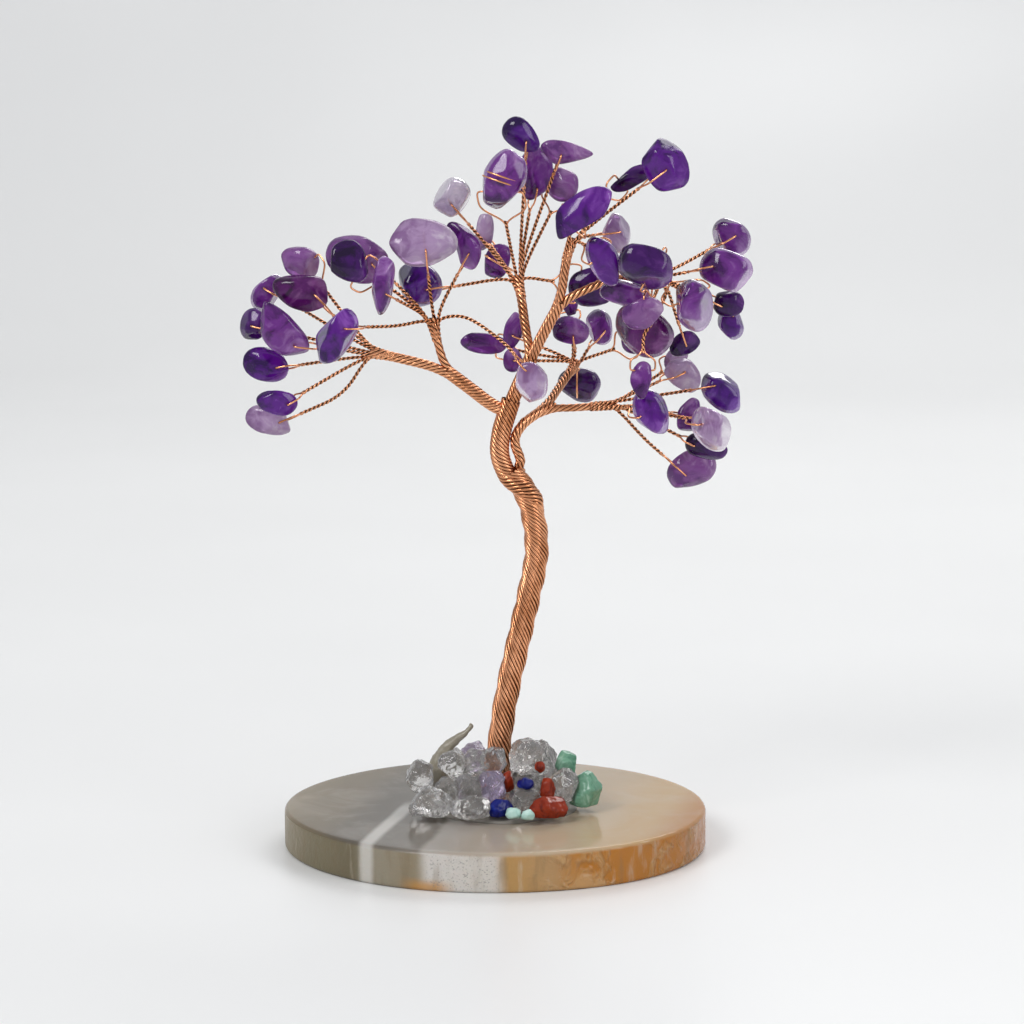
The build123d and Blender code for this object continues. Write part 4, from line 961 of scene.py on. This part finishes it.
def slab_mesh():
    """The agate slice: a polished top, a softened arris and a lumpy sawn wall."""
    shape = bmesh.new()
    made = []
    for share, inset, height in slab_rings():
        verts = []
        for k in range(SLAB_SIDES):
            angle = 2 * math.pi * k / SLAB_SIDES
            waves = sum(part * math.sin(n * angle + start) for n, start, part in SLAB_WAVES)
            stray = -SLAB_WAVE * (1 + waves) / 2
            x = (SLAB_WIDTH / 2 + stray - inset) * math.cos(angle)
            y = (SLAB_DEPTH / 2 + stray - inset) * math.sin(angle)
            if share == 1.0:
                inward = wall_hollow(x, y, height)
                x -= inward * math.cos(angle)
                y -= inward * math.sin(angle)
            verts.append(shape.verts.new((x * share * MM, y * share * MM, height * MM)))
        made.append(verts)
    top = shape.verts.new((0, 0, SLAB_TOP * MM))
    under = shape.verts.new((0, 0, 0))
    for k in range(SLAB_SIDES):
        after = (k + 1) % SLAB_SIDES
        shape.faces.new((top, made[0][k], made[0][after]))
        for upper, lower in zip(made, made[1:]):
            shape.faces.new((upper[k], lower[k], lower[after], upper[after]))
        shape.faces.new((made[-1][k], under, made[-1][after]))
    return finished("agate_slice", shape, "agate")


GLUE_SIDES = 96
GLUE_RINGS = 10
GLUE_CLOSED = 0.98  # share of the radius that the rings cover from the edge inwards
GLUE_WANDER = 0.06  # share that the edge strays
GLUE_WAVES = 1.7
GLUE_FILL = 0.9  # of the film's height that the puddle rises to
GLUE_LIFT = 0.04  # above the slab


def glue_mesh():
    """A puddle of set glue with a wandering edge, thin at its rim and risen against the stones."""
    low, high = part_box("clear_glue_film")
    middle = (low + high) / 2
    half = (high - low) / 2
    shape = bmesh.new()
    made = []
    for i in range(GLUE_RINGS + 1):
        share = 1 - i / GLUE_RINGS * GLUE_CLOSED
        z = low.z + GLUE_LIFT * MM + (1 - share**6) * (high.z - low.z) * GLUE_FILL
        verts = []
        for k in range(GLUE_SIDES):
            angle = 2 * math.pi * k / GLUE_SIDES
            way = Vector((math.cos(angle), math.sin(angle), 0))
            wander = 1 - GLUE_WANDER * (1 + noise.noise(way * GLUE_WAVES + Vector((0, 0, 0.3))))
            x = middle.x + half.x * share * wander * way.x
            y = middle.y + half.y * share * wander * way.y
            verts.append(shape.verts.new((x, y, z)))
        made.append(verts)
    for outer, inner in zip(made, made[1:]):
        for k in range(GLUE_SIDES):
            after = (k + 1) % GLUE_SIDES
            shape.faces.new((outer[k], outer[after], inner[after], inner[k]))
    shape.faces.new(made[-1])
    shape.faces.new(made[0][::-1])
    return finished("glue_puddle", shape, "glue")


def islands(node):
    """The separate solids of a CAD node, as meshes with their doubles merged."""
    shape = bmesh.new()
    shape.from_mesh(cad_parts[node].data)
    bmesh.ops.remove_doubles(shape, verts=shape.verts, dist=1e-7)
    shape.verts.index_update()
    shape.faces.index_update()
    shape.faces.ensure_lookup_table()
    seen = set()
    made = []
    for first in shape.verts:
        if first.index in seen:
            continue
        seen.add(first.index)
        group = [first]
        for vert in group:  # grows as neighbours are found
            for edge in vert.link_edges:
                other = edge.other_vert(vert)
                if other.index not in seen:
                    seen.add(other.index)
                    group.append(other)
        place = {vert.index: i for i, vert in enumerate(group)}
        faces = sorted({face.index for vert in group for face in vert.link_faces})
        mesh = bpy.data.meshes.new(node)
        corners = [[place[vert.index] for vert in shape.faces[i].verts] for i in faces]
        mesh.from_pydata([vert.co[:] for vert in group], [], corners)
        made.append(mesh)
    shape.free()
    made.sort(key=lambda mesh: min((round(vert.co.x, 5), round(vert.co.y, 5)) for vert in mesh.vertices))
    return made


STONE_VOXEL = 0.24
STONE_DENTS = 0.4  # depth of the dents and fractures
TUMBLED_DENTS = 0.25  # the same on the coloured stones, which are tumbled smooth
TUMBLED_WEAR = 3  # times that their corners are worn as much
HORN = {"voxel": 0.2, "rounds": 2, "rough": 0.25, "seed": 40}
DENT_SHIFT = Vector((3.1, 1.7, 0.9))  # moves the dents from stone to stone
DENTS = ((0.55, 0.6), (1.6, 0.4))  # fineness and share


def tumbled(mesh, voxel, rounds, rough, seed):
    """A stone with its cut corners worn: remeshed finely, smoothed, then given dents and fractures."""
    holder = bpy.data.objects.new("stone", mesh)
    remesh = holder.modifiers.new("even", "REMESH")
    remesh.mode = "VOXEL"
    remesh.voxel_size = voxel * MM
    wear = holder.modifiers.new("wear", "SMOOTH")
    wear.factor = 0.5
    wear.iterations = rounds
    made = applied(holder)
    normals = [vert.normal.copy() for vert in made.vertices]
    for vert, normal in zip(made.vertices, normals):
        place = vert.co / MM
        dent = sum(noise.noise(place * fine + DENT_SHIFT * seed) * part for fine, part in DENTS)
        vert.co += normal * (rough * MM * dent)
    for face in made.polygons:
        face.use_smooth = True
    return made


# Stage, in metres: a floor that bends up into a wall, three soft lights and a camera
FLOOR_REACH = 4.0
WALL_PLACE = 0.9
WALL_HEIGHT = 3.0
FLOOR_BEND = 0.25
BEND_STEPS = 12
SKY_COLOUR = (0.93, 0.95, 1.0, 1.0)
SKY_STRENGTH = 0.55
LIGHTS = (  # name, place, target, size, watts
    ("key", (-0.55, -0.65, 0.75), (0, 0, 0.08), (0.42, 0.42), 5.4),
    ("fill", (0.75, -0.45, 0.45), (0, 0, 0.08), (0.36, 0.55), 2.1),
    ("back", (0.25, 0.55, 0.65), (0, 0, 0.09), (0.5, 0.4), 2.6),
)
LENS = 130.4  # millimetres, on a sensor of 36
CAMERA_PLACE = (0.0030, -0.6904, 0.1797)
CAMERA_TILT = 80.5  # degrees up from straight down


def area_light(name, place, target, size, watts):
    """A soft box that faces a point."""
    data = bpy.data.lights.new(name, "AREA")
    data.shape = "RECTANGLE"
    data.size, data.size_y = size
    data.energy = watts
    lamp = bpy.data.objects.new(name, data)
    lamp.location = place
    lamp.rotation_euler = (Vector(target) - Vector(place)).to_track_quat("-Z", "Y").to_euler()
    bpy.context.scene.collection.objects.link(lamp)


class GemTreeSettings(bpy.types.PropertyGroup):
    copper_bright: bpy.props.FloatVectorProperty(
        name="Bright copper",
        description="Colour of the wire where it is clean",
        subtype="COLOR",
        default=(0.90, 0.42, 0.22),
    )
    copper_dull: bpy.props.FloatVectorProperty(
        name="Dull copper",
        description="Colour of the wire where it has dulled",
        subtype="COLOR",
        default=(0.52, 0.195, 0.08),
    )
    twig_pitch: bpy.props.FloatProperty(
        name="Twig pitch",
        description="Length of one turn of the two wires of a twig",
        subtype="DISTANCE",
        default=1.8 * MM,
        min=1.0 * MM,
    )
    bundle_pitch: bpy.props.FloatProperty(
        name="Bundle pitch",
        description="Length of one turn of the strands of the trunk's main bundle",
        subtype="DISTANCE",
        default=9.0 * MM,
        min=4.0 * MM,
    )
    rope_pitch: bpy.props.FloatProperty(
        name="Rope pitch",
        description="Length of one turn of the trunk's strands at its foot",
        subtype="DISTANCE",
        default=24.0 * MM,
        min=8.0 * MM,
    )
    stone_wear: bpy.props.IntProperty(
        name="Stone wear",
        description="Rounds of smoothing on the stones of the heap",
        default=4,
        min=0,
        max=30,
    )
    floor_colour: bpy.props.FloatVectorProperty(
        name="Floor",
        description="Colour of the plain floor",
        subtype="COLOR",
        default=(0.80, 0.80, 0.79),
    )


def settings():
    return bpy.context.scene.gem_tree


class GEMTREE_OT_slab(bpy.types.Operator):
    """Make the agate slice and the glue that holds the heap on it"""

    bl_idname = "gemtree.slab"
    bl_label = "Agate slice and glue"

    def execute(self, context):
        show("agate_slice", slab_mesh(), TREE, ["agate_slab"])
        show("glue_puddle", glue_mesh(), TREE, ["clear_glue_film"])
        return {"FINISHED"}


class GEMTREE_OT_heap(bpy.types.Operator):
    """Make the small stones round the trunk's foot"""

    bl_idname = "gemtree.heap"
    bl_label = "Heap of stones"

    def execute(self, context):
        for kind in ("clear_quartz", "violet_quartz", "lapis", "amazonite", "red_jasper", "aventurine"):
            node = f"{kind}_stones"
            broken = kind.endswith("quartz")
            rounds = settings().stone_wear * (1 if broken else TUMBLED_WEAR)
            rough = STONE_DENTS if broken else TUMBLED_DENTS
            made = []
            for i, mesh in enumerate(islands(node)):
                made.append(coat(tumbled(mesh, STONE_VOXEL, rounds, rough, seed=i), kind))
            show(f"{kind}_chips", joined(node, made), TREE, [node])
        horn = coat(tumbled(islands("smoky_quartz_horn")[0], **HORN), "smoky_quartz")
        show("smoky_horn", horn, TREE, ["smoky_quartz_horn"])
        return {"FINISHED"}


class GEMTREE_OT_trunk(bpy.types.Operator):
    """Twist the trunk and its branches from copper wire, and give the root wires their copper finish"""

    bl_idname = "gemtree.trunk"
    bl_label = "Trunk and branches"

    def execute(self, context):
        axis, main, side = trunk_turns()
        pitch = settings().bundle_pitch / MM
        turning = {"tightening": ROPE_TIGHTENING, "lobes": ROPE_LOBES, "rise": ROPE_RISE}
        meshes = bundle("rope", axis, ROPE_DIAMETER, settings().rope_pitch / MM, **turning)
        parting = axis[-PARTING_STEPS - 2]
        route = [parting] + main[-PARTING_STEPS:] + MAIN_TOP + [FORK + Vector((0.6, 0, 2.0))]
        meshes += bundle("trunk_main", route, MAIN_DIAMETER * MAIN_FULLNESS, pitch)
        show("trunk_main", joined("trunk_main", meshes), TREE, ["trunk_main_bundle"])
        beyond = SIDE_FORK + Vector((1.4, 1.2, 0.6))
        route = [parting] + side[2 - PARTING_STEPS:] + SIDE_TOP + [beyond]
        meshes = bundle("trunk_side", route, SIDE_DIAMETER, pitch * SIDE_PITCH)
        show("trunk_side", joined("trunk_side", meshes), TREE, ["trunk_side_bundle"])
        for node in dict.fromkeys(row[0] for row in BRANCHES.values()):
            meshes = []
            for part, (owner, lead, diameter) in BRANCHES.items():
                if owner == node:
                    meshes += bundle(part, [lead] + ROUTES[part], diameter, pitch * BRANCH_PITCH)
            show(f"{node}_wires", joined(node, meshes), TREE, [node])
        roots = coat(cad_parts["root_wires"].data, "copper")
        # a crown of 1 all over keeps painted shade off the root wires
        crown = roots.attributes.new("crown", "FLOAT", "POINT")
        for value in crown.data:
            value.value = 1.0
        return {"FINISHED"}


class GEMTREE_OT_sprays(bpy.types.Operator):
    """Make the twigs with their loops, and the chips that hang on them"""

    bl_idname = "gemtree.sprays"
    bl_label = "Twigs and chips"

    def execute(self, context):
        hung_all = [HungChip(chip) for chip in CHIPS]
        for spray in HUBS:
            hung = [one for one in hung_all if one.chip.spray == spray]
            arrival = (ROUTES[spray][-2] - ROUTES[spray][-1]).normalized()
            sideways = arrival.orthogonal().normalized()
            stems, loops = [], []
            for k, one in enumerate(hung):
                side = Matrix.Rotation(2 * math.pi * k / len(hung), 3, arrival) @ sideways
                stems.append(one.twig_route(arrival, side))
                loops.append(one.loop_route())
            wire = WIRE_DIAMETER / 2
            plies = {"strands": 2, "lay": wire, "strand": wire * TWIG_FULLNESS}
            pitch = settings().twig_pitch / MM
            twist = wire_mesh("twigs", stems, **plies, pitch=pitch, step=0.12, sides=6, lift=0.3)
            bends = wire_mesh("loops", loops, 1, 0.0, wire, PLAIN_PITCH, step=0.15, order=4)
            show(f"{spray}_twig_wires", joined(spray, [twist, bends]), TREE, [f"{spray}_twigs"])
            wedged = []
            for one in hung:
                mesh = chip_mesh(one, seed=hung_all.index(one) + FIRST_CHIP_SEED)
                if not one.chip.name:
                    wedged.append(mesh)
                    continue
                low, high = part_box(one.chip.name)
                if not all(low[i] < one.middle[i] * MM < high[i] for i in range(3)):
                    raise RuntimeError(f"{one.chip.name} isn't where its solid is")
                if one.chip.name == "crown_bell_chip":
                    wraps = wire_mesh("wraps", [bell_wraps(one)], 1, 0.0, wire, PLAIN_PITCH)
                    mesh = joined("bell", [mesh, wraps])
                show(f"{one.chip.name}_stone", mesh, one.chip.name, [one.chip.name])
            show(f"{spray}_wedged_stones", joined(spray, wedged), TREE, [f"{spray}_wedged_chips"])
        return {"FINISHED"}


class GEMTREE_OT_stage(bpy.types.Operator):
    """Set the floor, the lights and the camera"""

    bl_idname = "gemtree.stage"
    bl_label = "Floor, lights and camera"

    def execute(self, context):
        scene = context.scene
        scene.view_settings.view_transform = "Standard"
        mesh = bpy.data.meshes.new("floor")
        foot = WALL_PLACE - FLOOR_BEND
        lines = [(-FLOOR_REACH, 0.0), (foot, 0.0)]
        for i in range(1, BEND_STEPS + 1):
            angle = math.pi / 2 * i / BEND_STEPS
            lines.append((foot + FLOOR_BEND * math.sin(angle), FLOOR_BEND * (1 - math.cos(angle))))
        lines.append((WALL_PLACE, WALL_HEIGHT))
        verts = [(x, y, z) for y, z in lines for x in (-FLOOR_REACH, FLOOR_REACH)]
        faces = [(2 * i, 2 * i + 1, 2 * i + 3, 2 * i + 2) for i in range(len(lines) - 1)]
        mesh.from_pydata(verts, [], faces)
        for face in mesh.polygons:
            face.use_smooth = True
        shader = Shader("plain_floor")
        mottle = shader.noise(6.0, detail=2.0)
        base = tuple(settings().floor_colour)
        colour = shader.ramp(mottle, [(0.3, base), (0.7, tuple(c * 1.03 for c in base))])
        mesh.materials.append(shader.finish(colour, 0.35))
        floor = bpy.data.objects.new("floor", mesh)
        scene.collection.objects.link(floor)

        world = bpy.data.worlds.new("studio")
        world.use_nodes = True
        sky = world.node_tree.nodes["Background"].inputs
        sky["Color"].default_value = SKY_COLOUR
        sky["Strength"].default_value = SKY_STRENGTH
        scene.world = world
        for light in LIGHTS:
            area_light(*light)

        data = bpy.data.cameras.new("camera")
        data.lens = LENS
        data.sensor_width = 36.0
        data.clip_start = 0.01
        camera = bpy.data.objects.new("camera", data)
        camera.location = CAMERA_PLACE
        camera.rotation_euler = (math.radians(CAMERA_TILT), 0.0, 0.0)
        scene.collection.objects.link(camera)
        scene.camera = camera
        return {"FINISHED"}


class GEMTREE_PT_panel(bpy.types.Panel):
    bl_label = "Gem tree"
    bl_idname = "GEMTREE_PT_panel"
    bl_space_type = "VIEW_3D"
    bl_region_type = "UI"
    bl_category = "Gem tree"

    def draw(self, context):
        for name in GemTreeSettings.__annotations__:
            self.layout.prop(context.scene.gem_tree, name)
        for made in OPERATORS:
            self.layout.operator(made.bl_idname)


OPERATORS = (GEMTREE_OT_slab, GEMTREE_OT_heap, GEMTREE_OT_trunk, GEMTREE_OT_sprays, GEMTREE_OT_stage)
CLASSES = (GemTreeSettings, *OPERATORS, GEMTREE_PT_panel)


def register():
    for made in CLASSES:
        bpy.utils.register_class(made)
    bpy.types.Scene.gem_tree = bpy.props.PointerProperty(type=GemTreeSettings)


def unregister():
    del bpy.types.Scene.gem_tree
    for made in reversed(CLASSES):
        bpy.utils.unregister_class(made)


def main():
    register()
    bpy.ops.gemtree.slab()
    bpy.ops.gemtree.heap()
    bpy.ops.gemtree.trunk()
    bpy.ops.gemtree.sprays()
    bpy.ops.gemtree.stage()
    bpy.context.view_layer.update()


if __name__ == "__main__":
    main()
